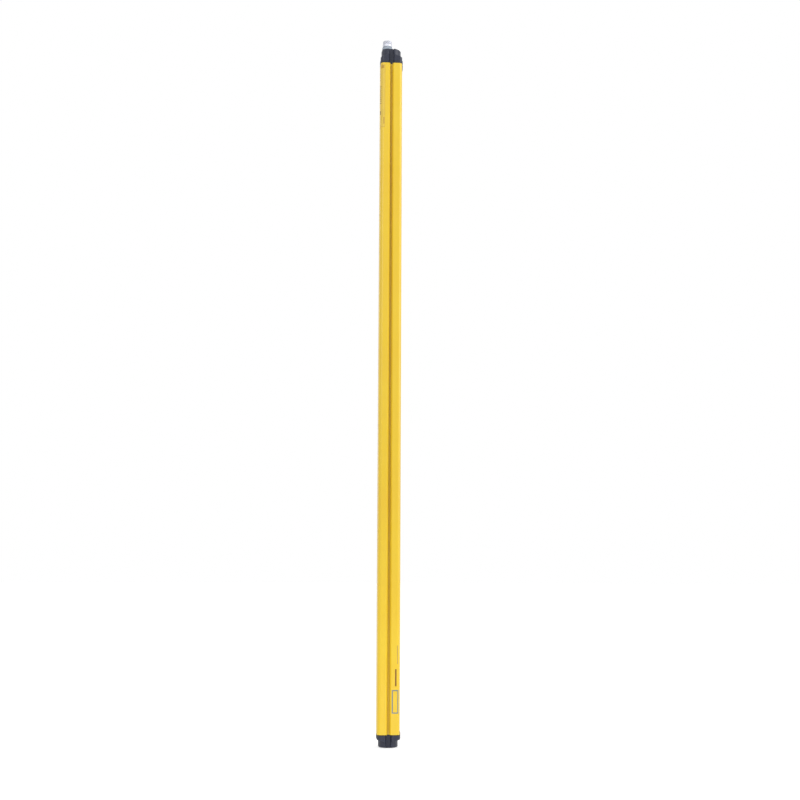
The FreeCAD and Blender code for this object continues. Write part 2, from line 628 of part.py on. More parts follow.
def board_span(index):
    """The lower and upper end of one board."""
    def joint(i):
        return BEAM_HEIGHTS[i] + BEAM_PITCH / 2
    last = min((index + 1) * BEAMS_PER_BOARD, BEAM_COUNT) - 1
    low = HOUSING_BOTTOM + BOARD_END_CLEARANCE
    if index > 0:
        low = joint(index * BEAMS_PER_BOARD - 1) + BOARD_JOINT_GAP / 2
    high = HOUSING_TOP - BOARD_END_CLEARANCE
    if index < BOARD_COUNT - 1:
        high = joint(last) - BOARD_JOINT_GAP / 2
    return low, high


def circuit_board(index):
    low, high = board_span(index)
    return block(-BOARD_WIDTH / 2, BOARD_WIDTH / 2, BOARD_FRONT, BOARD_BACK, low, high)


def board_link(index):
    """The plug-in link across the joint above one board."""
    middle = board_span(index)[1] + BOARD_JOINT_GAP / 2
    return block(-LINK_WIDTH / 2, LINK_WIDTH / 2, BOARD_FRONT - LINK_DEPTH, BOARD_FRONT,
                 middle - LINK_LENGTH / 2, middle + LINK_LENGTH / 2)


def beam_tube(height):
    """A tapered tube with a seat for the lens at its mouth, standing on the board round its LED."""
    seat = LENS_RADIUS + LENS_CLEARANCE
    throat = LENS_RADIUS - TUBE_SEAT_WIDTH
    outline = [(seat, TUBE_MOUTH), (TUBE_RADIUS, TUBE_MOUTH), (TUBE_REAR_RADIUS, BOARD_FRONT)]
    outline += [(TUBE_REAR_RADIUS - TUBE_WALL, BOARD_FRONT), (throat, LENS_BACK), (seat, LENS_BACK)]
    return turned_forward(outline, height)


def beam_lens(height):
    """A lens with a flat back, a plain edge and a domed front."""
    ball_radius = (LENS_RADIUS ** 2 + LENS_DOME ** 2) / (2 * LENS_DOME)
    dome = Part.makeSphere(ball_radius)
    dome.rotate(Vector(0, 0, 0), Vector(1, 0, 0), 90)
    dome.translate(Vector(0, TUBE_MOUTH - LENS_DOME + ball_radius, height))
    back, forward = Vector(0, LENS_BACK, height), Vector(0, -1, 0)
    blank = Part.makeCylinder(LENS_RADIUS, LENS_EDGE + LENS_DOME, back, forward)
    return one_solid(blank.common(dome))


def beam_led(height):
    half = LED_SIZE / 2
    return block(-half, half, BOARD_FRONT - LED_THICKNESS, BOARD_FRONT, height - half, height + half)


def processor(index):
    """One of the two processors side by side on the front of the top board."""
    middle = (BEAM_HEIGHTS[-1] + BEAM_HEIGHTS[-2]) / 2
    z = middle + (index - 0.5) * PROCESSOR_SPACING
    half = PROCESSOR_SIZE / 2
    return block(-half, half, BOARD_FRONT - PROCESSOR_THICKNESS, BOARD_FRONT, z - half, z + half)


def power_module():
    middle = (BEAM_HEIGHTS[-1] + BEAM_HEIGHTS[-2]) / 2 + 2 * PROCESSOR_SPACING
    x, half = POWER_MODULE_WIDTH / 2, POWER_MODULE_LENGTH / 2
    return block(-x, x, BOARD_FRONT - POWER_MODULE_DEPTH, BOARD_FRONT, middle - half, middle + half)


def wiring_header():
    top = board_span(BOARD_COUNT - 1)[1]
    return block(-HEADER_WIDTH / 2, HEADER_WIDTH / 2, BOARD_FRONT - HEADER_DEPTH, BOARD_FRONT,
                 top - HEADER_LENGTH, top)


def display_place():
    """The height of the display's middle, which sits close above the uppermost beam tube."""
    return BEAM_HEIGHTS[-1] + TUBE_RADIUS + DISPLAY_CLEARANCE + HOLDER_WALL + DISPLAY_HEIGHT / 2


def segment_display():
    z, half = display_place(), DISPLAY_HEIGHT / 2
    front = WINDOW_BACK + DISPLAY_TO_WINDOW
    return block(-DISPLAY_WIDTH / 2, DISPLAY_WIDTH / 2, front, front + DISPLAY_THICKNESS, z - half, z + half)


def display_holder():
    """A square tower from the board to the back of the display, with a rim round the display."""
    z, half = display_place(), DISPLAY_HEIGHT / 2
    front = WINDOW_BACK + DISPLAY_TO_WINDOW
    back = front + DISPLAY_THICKNESS
    x, reach, rim = DISPLAY_WIDTH / 2, half + HOLDER_WALL, HOLDER_WALL
    tower = block(-x - rim, x + rim, front + DISPLAY_THICKNESS / 2, BOARD_FRONT, z - reach, z + reach)
    pocket = block(-x, x, front, back, z - half, z + half)
    core = block(-x + rim, x - rim, back, BOARD_FRONT, z - half + rim, z + half - rim)
    return one_solid(tower.cut([pocket, core]))


def wire_bundle():
    """The sleeved wires from the header up to the back of the connector insert."""
    bottom, top = board_span(BOARD_COUNT - 1)[1], INSERT_BOTTOM - CONTACT_TAIL
    return Part.makeCylinder(BUNDLE_RADIUS, top - bottom, Vector(0, CONNECTOR_OFFSET, bottom))


# ---------------------------------------------------------------- all the pieces


def main():
    os.makedirs("parts", exist_ok=True)
    save("housing_profile", housing_profile())
    save("front_window", front_window())
    save("window_seal_left", window_seal(-1))
    save("window_seal_right", window_seal(1))

    save("bottom_cap", upended(bottom_cap()))
    save("bottom_gasket", upended(gasket(slot_sides("left", "right", "back"), BOTTOM_STUB_RADIUS, False)))
    save("bottom_cap_screws", upended(cap_screws()))
    save("top_cap", at_top(top_cap()))
    save("top_gasket", at_top(gasket(slot_sides("left", "right"), TOP_STUB_RADIUS, True)))
    save("top_cap_screws", at_top(cap_screws()))

    save("connector_shell", connector_shell())
    save("connector_insert", connector_insert())
    save("connector_pins", contact_pins())
    save("connector_seal", connector_seal())
    save("connector_lock_nut", connector_lock_nut())
    save("connector_wires", wire_bundle())

    for index in range(BOARD_COUNT):
        save("circuit_board_%d" % (index + 1), circuit_board(index))
    for index in range(BOARD_COUNT - 1):
        save("board_link_%d" % (index + 1), board_link(index))
    for index, height in enumerate(BEAM_HEIGHTS):
        save("beam_tube_%d" % (index + 1), beam_tube(height))
        save("beam_lens_%d" % (index + 1), beam_lens(height))
        save("beam_led_%d" % (index + 1), beam_led(height))
    for index in range(2):
        save("processor_%d" % (index + 1), processor(index))
    save("power_module", power_module())
    save("wiring_header", wiring_header())
    save("segment_display", segment_display())
    save("display_holder", display_holder())


main()
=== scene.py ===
"""Finishes, fasteners, connector, label and stage for a safety light curtain, laid out as an add-on."""

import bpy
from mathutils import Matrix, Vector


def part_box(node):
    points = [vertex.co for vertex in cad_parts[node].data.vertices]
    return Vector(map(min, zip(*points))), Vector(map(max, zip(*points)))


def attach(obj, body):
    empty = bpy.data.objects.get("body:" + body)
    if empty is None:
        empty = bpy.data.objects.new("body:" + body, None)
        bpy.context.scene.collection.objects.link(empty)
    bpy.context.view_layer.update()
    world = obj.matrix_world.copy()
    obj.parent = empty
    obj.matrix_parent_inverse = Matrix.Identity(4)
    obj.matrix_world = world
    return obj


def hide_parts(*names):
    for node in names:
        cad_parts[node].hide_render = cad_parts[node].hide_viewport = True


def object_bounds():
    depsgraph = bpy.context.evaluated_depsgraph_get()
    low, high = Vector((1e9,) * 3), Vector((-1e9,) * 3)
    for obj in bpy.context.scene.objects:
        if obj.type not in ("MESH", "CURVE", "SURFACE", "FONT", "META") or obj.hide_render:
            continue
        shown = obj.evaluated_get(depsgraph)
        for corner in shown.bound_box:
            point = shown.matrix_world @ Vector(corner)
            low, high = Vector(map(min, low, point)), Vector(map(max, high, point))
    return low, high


bl_info = {
    "name": "Safety Light Curtain",
    "version": (1, 0, 0),
    "blender": (4, 5, 0),
    "location": "3D View > Sidebar > Light Curtain",
    "description": "Dresses the packed light curtain with its finishes, screws, connector, label and stage",
    "category": "Object",
}

from math import ceil, cos, pi, radians, sin, sqrt

import bmesh
import bpy
from bpy.props import FloatProperty, FloatVectorProperty, IntProperty, PointerProperty
from bpy.types import NodeSocket, Operator, Panel, PropertyGroup, Scene
from mathutils import Quaternion, Vector

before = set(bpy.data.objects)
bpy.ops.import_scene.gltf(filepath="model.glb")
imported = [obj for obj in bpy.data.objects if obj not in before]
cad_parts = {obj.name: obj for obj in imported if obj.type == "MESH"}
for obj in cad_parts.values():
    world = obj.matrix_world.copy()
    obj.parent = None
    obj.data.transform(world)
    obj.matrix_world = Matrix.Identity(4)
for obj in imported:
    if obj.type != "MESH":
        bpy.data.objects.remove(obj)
CAD_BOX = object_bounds()

MM = 0.001
BODY = "root"
HOUSING_LOW, HOUSING_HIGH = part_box("housing_profile")
SHELL_LOW, SHELL_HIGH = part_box("connector_shell")
INSERT_LOW, INSERT_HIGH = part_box("connector_insert")
PINS_LOW, PINS_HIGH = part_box("connector_pins")
DISPLAY_LOW, DISPLAY_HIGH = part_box("segment_display")
CORNER_RADIUS = 9.0 * MM  # of the housing's outline
CORNER_ARC = CORNER_RADIUS * pi / 2
HARD_TURN = radians(35)  # between two faces, from which their edge is sharp
LATHE_STEPS = 96
SHEET_COLUMN, SHEET_ROW = 0.8 * MM, 12.0 * MM  # largest fields of a sheet round the outline and up it
SHEET_SUNK = 0.05 * MM  # of a sheet's underside into what it lies on
SKIN, HEXAGON_SUNK = 0.1 * MM, 0.5 * MM  # of the hexagon into the flange and into the sleeve


def srgb(text):
    """Scene-linear colour of a hexadecimal screen colour."""
    values = [int(text[i:i + 2], 16) / 255 for i in (1, 3, 5)]
    return [v / 12.92 if v <= 0.04045 else ((v + 0.055) / 1.055) ** 2.4 for v in values]


# ---------------- sizes and colours a user would change


def length(name, description, default):
    return FloatProperty(name=name, description=description, default=default, min=0.0, unit="LENGTH", precision=5)


def amount(name, description, default, subtype="NONE"):
    return FloatProperty(name=name, description=description, default=default, min=0.0, subtype=subtype)


def colour(name, description, default):
    return FloatVectorProperty(name=name, description=description, default=srgb(default), size=3, min=0.0, max=1.0,
                               subtype="COLOR")


class CurtainSizes(PropertyGroup):
    edge_radius: length("Edge Radius", "Rounding of the moulded caps' edges", 0.8 * MM)
    screw_head_radius: length("Screw Head Radius", "Radius of a cap screw's head", 3.4 * MM)
    screw_head_height: length("Screw Head Height", "Height of a cap screw's head", 2.6 * MM)
    screw_shank_radius: length("Screw Shank Radius", "Radius of a cap screw's shank", 2.0 * MM)
    screw_socket: length("Screw Socket", "Distance across the flats of a cap screw's socket", 3.0 * MM)
    thread_pitch: length("Thread Pitch", "Pitch of the connector's coupling thread", 1.0 * MM)
    thread_depth: length("Thread Depth", "Height of the coupling thread's ridge", 0.55 * MM)
    contact_radius: length("Contact Radius", "Radius of one contact", 1.0 * MM)
    contact_circle: length("Contact Circle", "Radius of the ring of contacts", 5.2 * MM)
    contact_count: IntProperty(name="Contacts", description="Contacts in the ring", default=6, min=1)
    label_length: length("Label Length", "Height of the type label", 168.0 * MM)
    label_from_top: length("Label From Top", "From the housing's upper end to the label", 4.5 * MM)
    label_thickness: length("Label Thickness", "Thickness of the type label", 0.12 * MM)
    print_thickness: length("Print Thickness", "Thickness of the printed marks", 0.04 * MM)


class CurtainColours(PropertyGroup):
    coating: colour("Coating", "Powder coat of the housing", "#F6D126")
    coating_shade: colour("Coating Shade", "Powder coat where it was laid on thin", "#F2C81E")
    # Painted shade: the darker coat colour that the recess mask lays into the slots.
    coating_painted_shade: colour("Coating Recess", "Powder coat inside the slots, where it goes on thinnest", "#DCB110")
    cap: colour("Cap", "Moulded end caps", "#2E3242")
    rubber: colour("Rubber", "Gaskets and window seals", "#1B1B1D")
    window: colour("Window", "Tint of the front window", "#C8352C")
    steel: colour("Steel", "Zinc-plated screws", "#B4B6B8")
    connector: colour("Connector", "Nickel-plated sleeve of the connector", "#E4E6F0")
    connector_foot: colour("Connector Foot", "Flange, hexagon and lock nut of the connector", "#B4BEC9")
    gold: colour("Gold", "Plated contacts", "#E2BC6A")
    laminate: colour("Laminate", "Circuit board under its solder mask", "#1F5B34")
    tube: colour("Tube", "Beam tubes", "#26282B")
    label: colour("Label", "Ground of the type label", "#F2CE4C")
    label_ink: colour("Label Ink", "Fields on the type label", "#6B5326")
    label_rule: colour("Label Rule", "Border and shaded fields of the type label", "#CDA035")
    mark_grey: colour("Grey Mark", "Blank frame of the front marking", "#7F8E92")
    mark_brown: colour("Brown Mark", "Dark rule of the front marking", "#8A5B22")
    mark_pale: colour("Pale Mark", "Pale rule of the front marking", "#C9A458")


class CurtainStage(PropertyGroup):
    camera_distance: length("Camera Distance", "From the camera to the bar's axis", 3.0)
    camera_height: length("Camera Height", "Camera above the floor", 0.427)
    camera_turn: amount("Camera Turn", "Turn of the camera towards the back", radians(3.6), "ANGLE")
    camera_roll: amount("Camera Roll", "Roll of the camera about its own axis", radians(0.215), "ANGLE")
    aim_height: length("Aim Height", "Height of the point that the camera looks at", 0.842)
    aim_forward: length("Aim Forward", "How far before the bar's axis that point lies", 0.0266)
    focal_length: amount("Focal Length", "Lens of the camera", 54.6, "DISTANCE_CAMERA")
    ambient: amount("Ambient", "Strength of the even light", 0.622)
    side_power: amount("Side Power", "Power of the large light on the side with the label", 22.0, "POWER")
    front_power: amount("Front Power", "Power of the large light before the window", 38.0, "POWER")
    low_power: amount("Low Power", "Power of the small light near the floor", 0.45, "POWER")
    floor: colour("Floor", "Floor and surroundings", "#E2E2E2")


# ---------------- nodes

VECTOR, FLOAT, COLOUR = "NodeSocketVector", "NodeSocketFloat", "NodeSocketColor"
WHOLE, FINISH, SHAPE = "NodeSocketInt", "NodeSocketMaterial", "NodeSocketGeometry"
ORIGIN = (0.0, 0.0, 0.0)
MIX_FACTOR, MIX_FIRST, MIX_SECOND, MIX_RESULT = 0, 6, 7, 2  # a Mix node's sockets for colours


def add(tree, kind, sockets=None, **options):
    """Outputs of a new node: a socket given as an output is linked, and one given as a value is set."""
    node = tree.nodes.new(kind)
    for key, value in options.items():
        setattr(node, key, value)
    for key, value in (sockets or {}).items():
        if isinstance(value, NodeSocket):
            tree.links.new(value, node.inputs[key])
        else:
            node.inputs[key].default_value = value
    return node.outputs


def reckon(tree, operation, *values):
    return add(tree, "ShaderNodeMath", dict(enumerate(values)), operation=operation)[0]


def times(tree, *values):
    return reckon(tree, "MULTIPLY", *values)


def plus(tree, *values):
    return reckon(tree, "ADD", *values)


def minus(tree, *values):
    return reckon(tree, "SUBTRACT", *values)


def rgba(value):
    """A colour with its alpha, or an output as it is."""
    return value if isinstance(value, NodeSocket) else (*value, 1.0)


def shade(colour, factor):
    """A darker or lighter shade of a colour."""
    return [c * factor for c in colour]


def blend_colours(tree, factor, first, second):
    sockets = {MIX_FACTOR: factor, MIX_FIRST: rgba(first), MIX_SECOND: rgba(second)}
    return add(tree, "ShaderNodeMix", sockets, data_type="RGBA")[MIX_RESULT]


def spread(tree, value, low, high, to_low=0.0, to_high=1.0):
    """Maps low..high of a value to to_low..to_high, held at both ends."""
    return add(tree, "ShaderNodeMapRange", {"Value": value, "From Min": low, "From Max": high,
                                            "To Min": to_low, "To Max": to_high})["Result"]


def noise(tree, vector, scale, detail, roughness=0.5):
    return add(tree, "ShaderNodeTexNoise", {"Vector": vector, "Scale": scale, "Detail": detail,
                                            "Roughness": roughness})["Fac"]


def new_tree(name, tree_type, inputs, outputs):
    """An empty tree with its named sockets, its input node's sockets and its output node."""
    tree = bpy.data.node_groups.new(name, tree_type)
    for label, kind, default in inputs:
        socket = tree.interface.new_socket(label, in_out="INPUT", socket_type=kind)
        if default is not None:
            socket.default_value = default
    for label, kind in outputs:
        tree.interface.new_socket(label, in_out="OUTPUT", socket_type=kind)
    return tree, tree.nodes.new("NodeGroupInput").outputs, tree.nodes.new("NodeGroupOutput")


def named(sizes):
    """Label, kind and default of each input: a float, a whole number, a vector of three or a colour of four."""
    kinds = {0: FLOAT, 3: VECTOR, 4: COLOUR}
    return [(name.replace("_", " "),
             WHOLE if type(value) is int else kinds[len(value) if type(value) is tuple else 0], value)
            for name, value in sizes.items()]


def shader_group(name, *outputs, **inputs):
    return new_tree(name, "ShaderNodeTree", named(inputs), outputs)


def feed(node, socket, output):
    node.id_data.links.new(output, node.inputs[socket])


def orange_peel_group():
    """The shallow waviness and fine grain of a coated or moulded surface."""
    tree, given, result = shader_group("Orange Peel", ("Height", FLOAT), Vector=ORIGIN, Wave_Scale=320.0,
                                       Grain_Scale=2400.0, Grain_Share=0.3)
    wave = noise(tree, given["Vector"], given["Wave Scale"], 1.0)
    grain = noise(tree, given["Vector"], given["Grain Scale"], 2.0)
    feed(result, "Height", plus(tree, wave, times(tree, grain, given["Grain Share"])))
    return tree


def handling_group():
    """Faint smudges where the surface has been touched or wiped."""
    tree, given, result = shader_group("Handling Marks", ("Mask", FLOAT), Vector=ORIGIN, Scale=14.0, Cover=0.5)
    broad = noise(tree, given["Vector"], given["Scale"], 4.0, 0.6)
    start = minus(tree, 1.0, given["Cover"])
    feed(result, "Mask", spread(tree, broad, start, plus(tree, start, 0.25)))
    return tree


def shade_drift_group():
    """Slow drift between two close colours with a fine mottle in it."""
    tree, given, result = shader_group(
        "Shade Drift", ("Colour", COLOUR), Vector=ORIGIN, Colour=(0.5, 0.5, 0.5, 1.0), Other=(0.4, 0.4, 0.4, 1.0),
        Scale=9.0, Mottle=900.0)
    slow = times(tree, noise(tree, given["Vector"], given["Scale"], 3.0), 0.75)
    fine = times(tree, noise(tree, given["Vector"], given["Mottle"], 1.0), 0.25)
    mixed = spread(tree, plus(tree, slow, fine), 0.35, 0.65)
    feed(result, "Colour", blend_colours(tree, mixed, given["Colour"], given["Other"]))
    return tree


def rounded_edge_group():
    """Normals that round every edge, and a mask of where the edges are."""
    tree, given, result = shader_group("Rounded Edges", ("Normal", VECTOR), ("Edge", FLOAT), Radius=0.4 * MM)
    rounded = add(tree, "ShaderNodeBevel", {"Radius": given["Radius"]}, samples=6)[0]
    plain = add(tree, "ShaderNodeNewGeometry")["Normal"]
    same = add(tree, "ShaderNodeVectorMath", {0: rounded, 1: plain}, operation="DOT_PRODUCT")["Value"]
    feed(result, "Normal", rounded)
    feed(result, "Edge", spread(tree, same, 0.99, 0.86))
    return tree


def drawn_lines_group():
    """Fine lines along or around the axis, as a die, a lathe or a roller leaves them."""
    tree, given, result = shader_group("Drawn Lines", ("Height", FLOAT), Vector=ORIGIN, Stretch=(1.0, 1.0, 0.01),
                                       Scale=1500.0)
    stretched = add(tree, "ShaderNodeVectorMath", {0: given["Vector"], 1: given["Stretch"]},
                    operation="MULTIPLY")["Vector"]
    feed(result, "Height", noise(tree, stretched, given["Scale"], 2.0, 0.7))
    return tree


def recess_group():
    """A mask of the slots and inner corners that hardly see the open air, where the materials paint shade."""
    tree, given, result = shader_group("Recesses", ("Mask", FLOAT), Reach=14.0 * MM)
    seen = add(tree, "ShaderNodeAmbientOcclusion", {"Distance": given["Reach"]}, samples=8, only_local=True)
    feed(result, "Mask", spread(tree, seen["AO"], 0.5, 0.25))
    return tree


GROUPS = {"Orange Peel": orange_peel_group, "Handling Marks": handling_group, "Shade Drift": shade_drift_group,
          "Rounded Edges": rounded_edge_group, "Drawn Lines": drawn_lines_group, "Recesses": recess_group}


def use_group(tree, name, **sockets):
    """One of the shared groups placed in a material with its own values."""
    group = bpy.data.node_groups.get(name) or GROUPS[name]()
    values = {key.replace("_", " "): rgba(value) if key in ("Colour", "Other") else value
              for key, value in sockets.items()}
    return add(tree, "ShaderNodeGroup", values, node_tree=group)


# ---------------- finishes


def start_material(name, **plain):
    """A material with its tree, its shader and the object's own coordinates."""
    material = bpy.data.materials.new(name)
    material.use_nodes = True
    tree = material.node_tree
    shader = tree.nodes["Principled BSDF"]
    for key, value in plain.items():
        shader.inputs[key.replace("_", " ")].default_value = value
    return material, tree, shader, add(tree, "ShaderNodeTexCoord")["Object"]


def drift(tree, place, colour, other, scale, mottle=900.0):
    """A colour that drifts slowly towards a close one."""
    return use_group(tree, "Shade Drift", Vector=place, Colour=colour, Other=other, Scale=scale,
                     Mottle=mottle)["Colour"]


def smudged(tree, place, scale, cover, clean, touched):
    """A value that changes where the surface has been touched."""
    mask = use_group(tree, "Handling Marks", Vector=place, Scale=scale, Cover=cover)["Mask"]
    return spread(tree, mask, 0.0, 1.0, clean, touched)


def raise_surface(tree, shader, height, distance, strength, **normal):
    """Feeds a height to the shader's normal through a bump, on top of another normal where one is given."""
    bump = add(tree, "ShaderNodeBump", {"Height": height, "Distance": distance, "Strength": strength, **normal})
    feed(shader, "Normal", bump[0])


def moulded_plastic(name, colour, lighter, roughness, edge_radius, painted_edge_highlight=0.35, gloss=0.5, painted_recess_shade=0.6):
    """Moulded plastic: spark-eroded grain, rounded edges with a painted highlight, painted shade in its recesses and
    corners, and smudges.
    """
    material, tree, shader, place = start_material(name, Specular_IOR_Level=gloss)
    edges = use_group(tree, "Rounded Edges", Radius=edge_radius)
    body = drift(tree, place, colour, shade(colour, 0.85), 40.0)
    # Painted highlight: the rounded edges are blended towards the lighter colour.
    open_faces = blend_colours(tree, times(tree, edges["Edge"], painted_edge_highlight), body, lighter)
    # Painted shade: the recesses are blended towards a colour at 0.4 of the body's.
    recess = times(tree, use_group(tree, "Recesses", Reach=5.0 * MM)["Mask"], painted_recess_shade)
    feed(shader, "Base Color", blend_colours(tree, recess, open_faces, shade(colour, 0.4)))
    feed(shader, "Roughness", smudged(tree, place, 60.0, 0.55, roughness, roughness - 0.1))
    peel = use_group(tree, "Orange Peel", Vector=place, Wave_Scale=700.0, Grain_Scale=3600.0, Grain_Share=0.8)
    raise_surface(tree, shader, peel["Height"], 0.05 * MM, 0.6, Normal=edges["Normal"])
    return material


def plated_metal(name, colour, roughness, around, edge_radius, rim=(1.0, 1.0, 1.0), metal=1.0):
    """Plated metal with turned lines, drawn out round its axis by around; rim is its tint seen edge-on."""
    material, tree, shader, place = start_material(name, Metallic=metal, Specular_Tint=(*rim, 1.0))
    edges = use_group(tree, "Rounded Edges", Radius=edge_radius)
    feed(shader, "Base Color", drift(tree, place, colour, shade(colour, 0.8), 90.0))
    feed(shader, "Roughness", smudged(tree, place, 120.0, 0.5, roughness, roughness + 0.12))
    drawn = use_group(tree, "Drawn Lines", Vector=place, Stretch=(around, around, 1.0), Scale=2600.0)
    raise_surface(tree, shader, drawn["Height"], 0.02 * MM, 0.5, Normal=edges["Normal"])
    return material


def flat_ink(name, colour, other, roughness=0.5):
    """Printed ink or film with a fine mottle."""
    material, tree, shader, place = start_material(name)
    feed(shader, "Base Color", drift(tree, place, colour, other, 60.0, 2500.0))
    feed(shader, "Roughness", smudged(tree, place, 90.0, 0.5, roughness, roughness - 0.12))
    peel = use_group(tree, "Orange Peel", Vector=place, Wave_Scale=900.0, Grain_Scale=5000.0)
    raise_surface(tree, shader, peel["Height"], 0.01 * MM, 0.4)
    return material


def clear_pane(name, colour, roughness, shadow_colour):
    """Tinted clear plastic that also lets lamps through to what is behind it."""
    material, tree, shader, place = start_material(name, IOR=1.49, Transmission_Weight=1.0)
    feed(shader, "Base Color", drift(tree, place, colour, shade(colour, 0.9), 12.0))
    feed(shader, "Roughness", smudged(tree, place, 22.0, 0.45, roughness, roughness + 0.05))
    peel = use_group(tree, "Orange Peel", Vector=place, Wave_Scale=60.0, Grain_Scale=900.0, Grain_Share=0.05)
    raise_surface(tree, shader, peel["Height"], 0.02 * MM, 0.3)
    passes = add(tree, "ShaderNodeBsdfTransparent", {"Color": rgba(shadow_colour)})[0]
    is_shadow = add(tree, "ShaderNodeLightPath")["Is Shadow Ray"]
    mixed = add(tree, "ShaderNodeMixShader", {0: is_shadow, 1: shader.outputs[0], 2: passes})[0]
    feed(tree.nodes["Material Output"], "Surface", mixed)
    return material


# ---------------- pieces


def settings(context):
    return context.scene.curtain_sizes, context.scene.curtain_colours


def give(material, *nodes):
    """Finishes CAD nodes with a material."""
    for name in nodes:
        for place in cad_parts[name].material_slots:
            place.material = material


def give_plastic(name, colour, painted_highlight, roughness, edge, *nodes):
    """A moulded plastic from screen colours and an edge in millimetres, given to CAD nodes; the second colour is a
    painted highlight on its rounded edges.
    """
    material = moulded_plastic(name, srgb(colour), srgb(painted_highlight), roughness, edge * MM)
    give(material, *nodes)
    return material


def numbered(stem, count):
    return [f"{stem}_{n}" for n in range(1, count + 1)]


def new_object(name, data):
    """An object in the scene."""
    made = bpy.data.objects.new(name, data)
    bpy.context.scene.collection.objects.link(made)
    return made


def finish_piece(name, mesh, replaced=()):
    """Makes a mesh a piece of the object: riding and what it stands for."""
    if not mesh.polygons:
        raise RuntimeError(f"{name} came out empty")
    piece = new_object(name, mesh)
    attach(piece, BODY)
    if replaced:
        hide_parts(*replaced)


def mesh_from(name, vertices, faces, materials=(), numbers=None):
    """A mesh of points and faces, with the number of each face's material where one is given."""
    mesh = bpy.data.meshes.new(name)
    mesh.from_pydata(vertices, [], faces)
    for material in materials:
        mesh.materials.append(material)
    if numbers is not None:
        mesh.polygons.foreach_set("material_index", numbers)
    mesh.update()
    return mesh


def close_up(edit, mesh, smooth=True):
    """Writes an edited mesh with its faces outwards and, if smooth, its edges sharp where the surface turns hard."""
    bmesh.ops.recalc_face_normals(edit, faces=edit.faces)
    if smooth:
        for face in edit.faces:
            face.smooth = True
        for edge in edit.edges:
            edge.smooth = len(edge.link_faces) == 2 and edge.calc_face_angle(0.0) < HARD_TURN
    edit.to_mesh(mesh)
    edit.free()


def close_mesh(mesh, smooth=True):
    edit = bmesh.new()
    edit.from_mesh(mesh)
    close_up(edit, mesh, smooth)
    return mesh


def ring_of(edit, centre, height, radii, start=0.0):
    """Points round an upright axis, one for each radius."""
    turns = [start + 2 * pi * n / len(radii) for n in range(len(radii))]
    return [edit.verts.new((centre[0] + radius * cos(turn), centre[1] + radius * sin(turn), height))
            for radius, turn in zip(radii, turns)]


def bridge(edit, rings):
    """Joins rings of equal counts in turn, and the last to the first."""
    for low, high in zip(rings, rings[1:] + rings[:1]):
        for n in range(len(low)):
            after = (n + 1) % len(low)
            edit.faces.new((low[n], low[after], high[after], high[n]))


# ---------------- geometry trees


def geometry_tree(name, **sizes):
    """An empty geometry tree with its sizes and material as named inputs."""
    inputs = [("Geometry", SHAPE, None), *named(sizes), ("Material", FINISH, None)]
    return new_tree(name, "GeometryNodeTree", inputs, [("Geometry", SHAPE)])


def place_on(tree, points, instance, **placing):
    return add(tree, "GeometryNodeInstanceOnPoints", {"Points": points, "Instance": instance, **placing})[0]


def end_tree(tree, given, result, instance, points=None, **placing):
    """Ends a tree in the instance at every point, made real and given its material."""
    placed = place_on(tree, points or given["Geometry"], instance, **placing)
    real = add(tree, "GeometryNodeRealizeInstances", {0: placed})[0]
    painted = add(tree, "GeometryNodeSetMaterial", {"Geometry": real, "Material": given["Material"]})[0]
    feed(result, "Geometry", painted)
    return tree


def grow(name, tree, values, points, faces=()):
    """Runs a tree over points or faces and gives the result as a plain mesh."""
    holder = new_object(name + "_base", mesh_from(name + "_base", points, faces))
    modifier = holder.modifiers.new(tree.name, "NODES")
    modifier.node_group = tree
    for item in tree.interface.items_tree:
        if item.item_type == "SOCKET" and item.in_out == "INPUT" and item.name in values:
            modifier[item.identifier] = values[item.name]
    grown = bpy.data.meshes.new_from_object(holder.evaluated_get(bpy.context.evaluated_depsgraph_get()))
    holder.modifiers.clear()
    bpy.data.objects.remove(holder)
    grown.name = name
    return grown


def combine(tree, x=0.0, y=0.0, z=0.0):
    return add(tree, "ShaderNodeCombineXYZ", {"X": x, "Y": y, "Z": z})[0]


def raised(tree, geometry, height):
    lift = {"Geometry": geometry, "Translation": combine(tree, z=height)}
    return add(tree, "GeometryNodeTransform", lift)[0]


def cylinder_from(tree, sides, radius, bottom, top):
    """An upright cylinder between two heights."""
    made = add(tree, "GeometryNodeMeshCylinder", {"Vertices": sides, "Radius": radius,
                                                  "Depth": minus(tree, top, bottom)})["Mesh"]
    return raised(tree, made, times(tree, plus(tree, top, bottom), 0.5))


def join_solids(tree, *solids):
    union = tree.nodes.new("GeometryNodeMeshBoolean")
    union.operation = "UNION"
    for solid in solids:
        tree.links.new(solid, union.inputs["Mesh 2"])
    return union.outputs[0]


def screw_tree():
    """Socket-head screws, one at each point, heads up or down."""
    tree, given, result = geometry_tree(
        "Cap Screws", Head_Radius=3.4 * MM, Head_Height=2.6 * MM, Shank_Radius=2.0 * MM, Shank_Length=21.5 * MM,
        Socket_Across=3.0 * MM, Chamfer=0.4 * MM, Turn_Over=0.0)
    radius, height, chamfer = given["Head Radius"], given["Head Height"], given["Chamfer"]
    rim = minus(tree, height, chamfer)
    head = cylinder_from(tree, 48, radius, 0.0, rim)
    cone = add(tree, "GeometryNodeMeshCone", {
        "Vertices": 48, "Radius Top": minus(tree, radius, chamfer), "Radius Bottom": radius, "Depth": chamfer})
    crown = raised(tree, cone["Mesh"], rim)
    shank = cylinder_from(tree, 32, given["Shank Radius"], times(tree, given["Shank Length"], -1.0),
                          times(tree, rim, 0.5))
    socket = cylinder_from(tree, 6, times(tree, given["Socket Across"], 1 / sqrt(3)),
                           times(tree, height, 0.35), times(tree, height, 1.5))
    body = join_solids(tree, head, crown, shank)
    cut = add(tree, "GeometryNodeMeshBoolean", {"Mesh 1": body, "Mesh 2": socket}, operation="DIFFERENCE")[0]
    turn = combine(tree, x=times(tree, given["Turn Over"], pi))
    return end_tree(tree, given, result, cut, Rotation=turn)


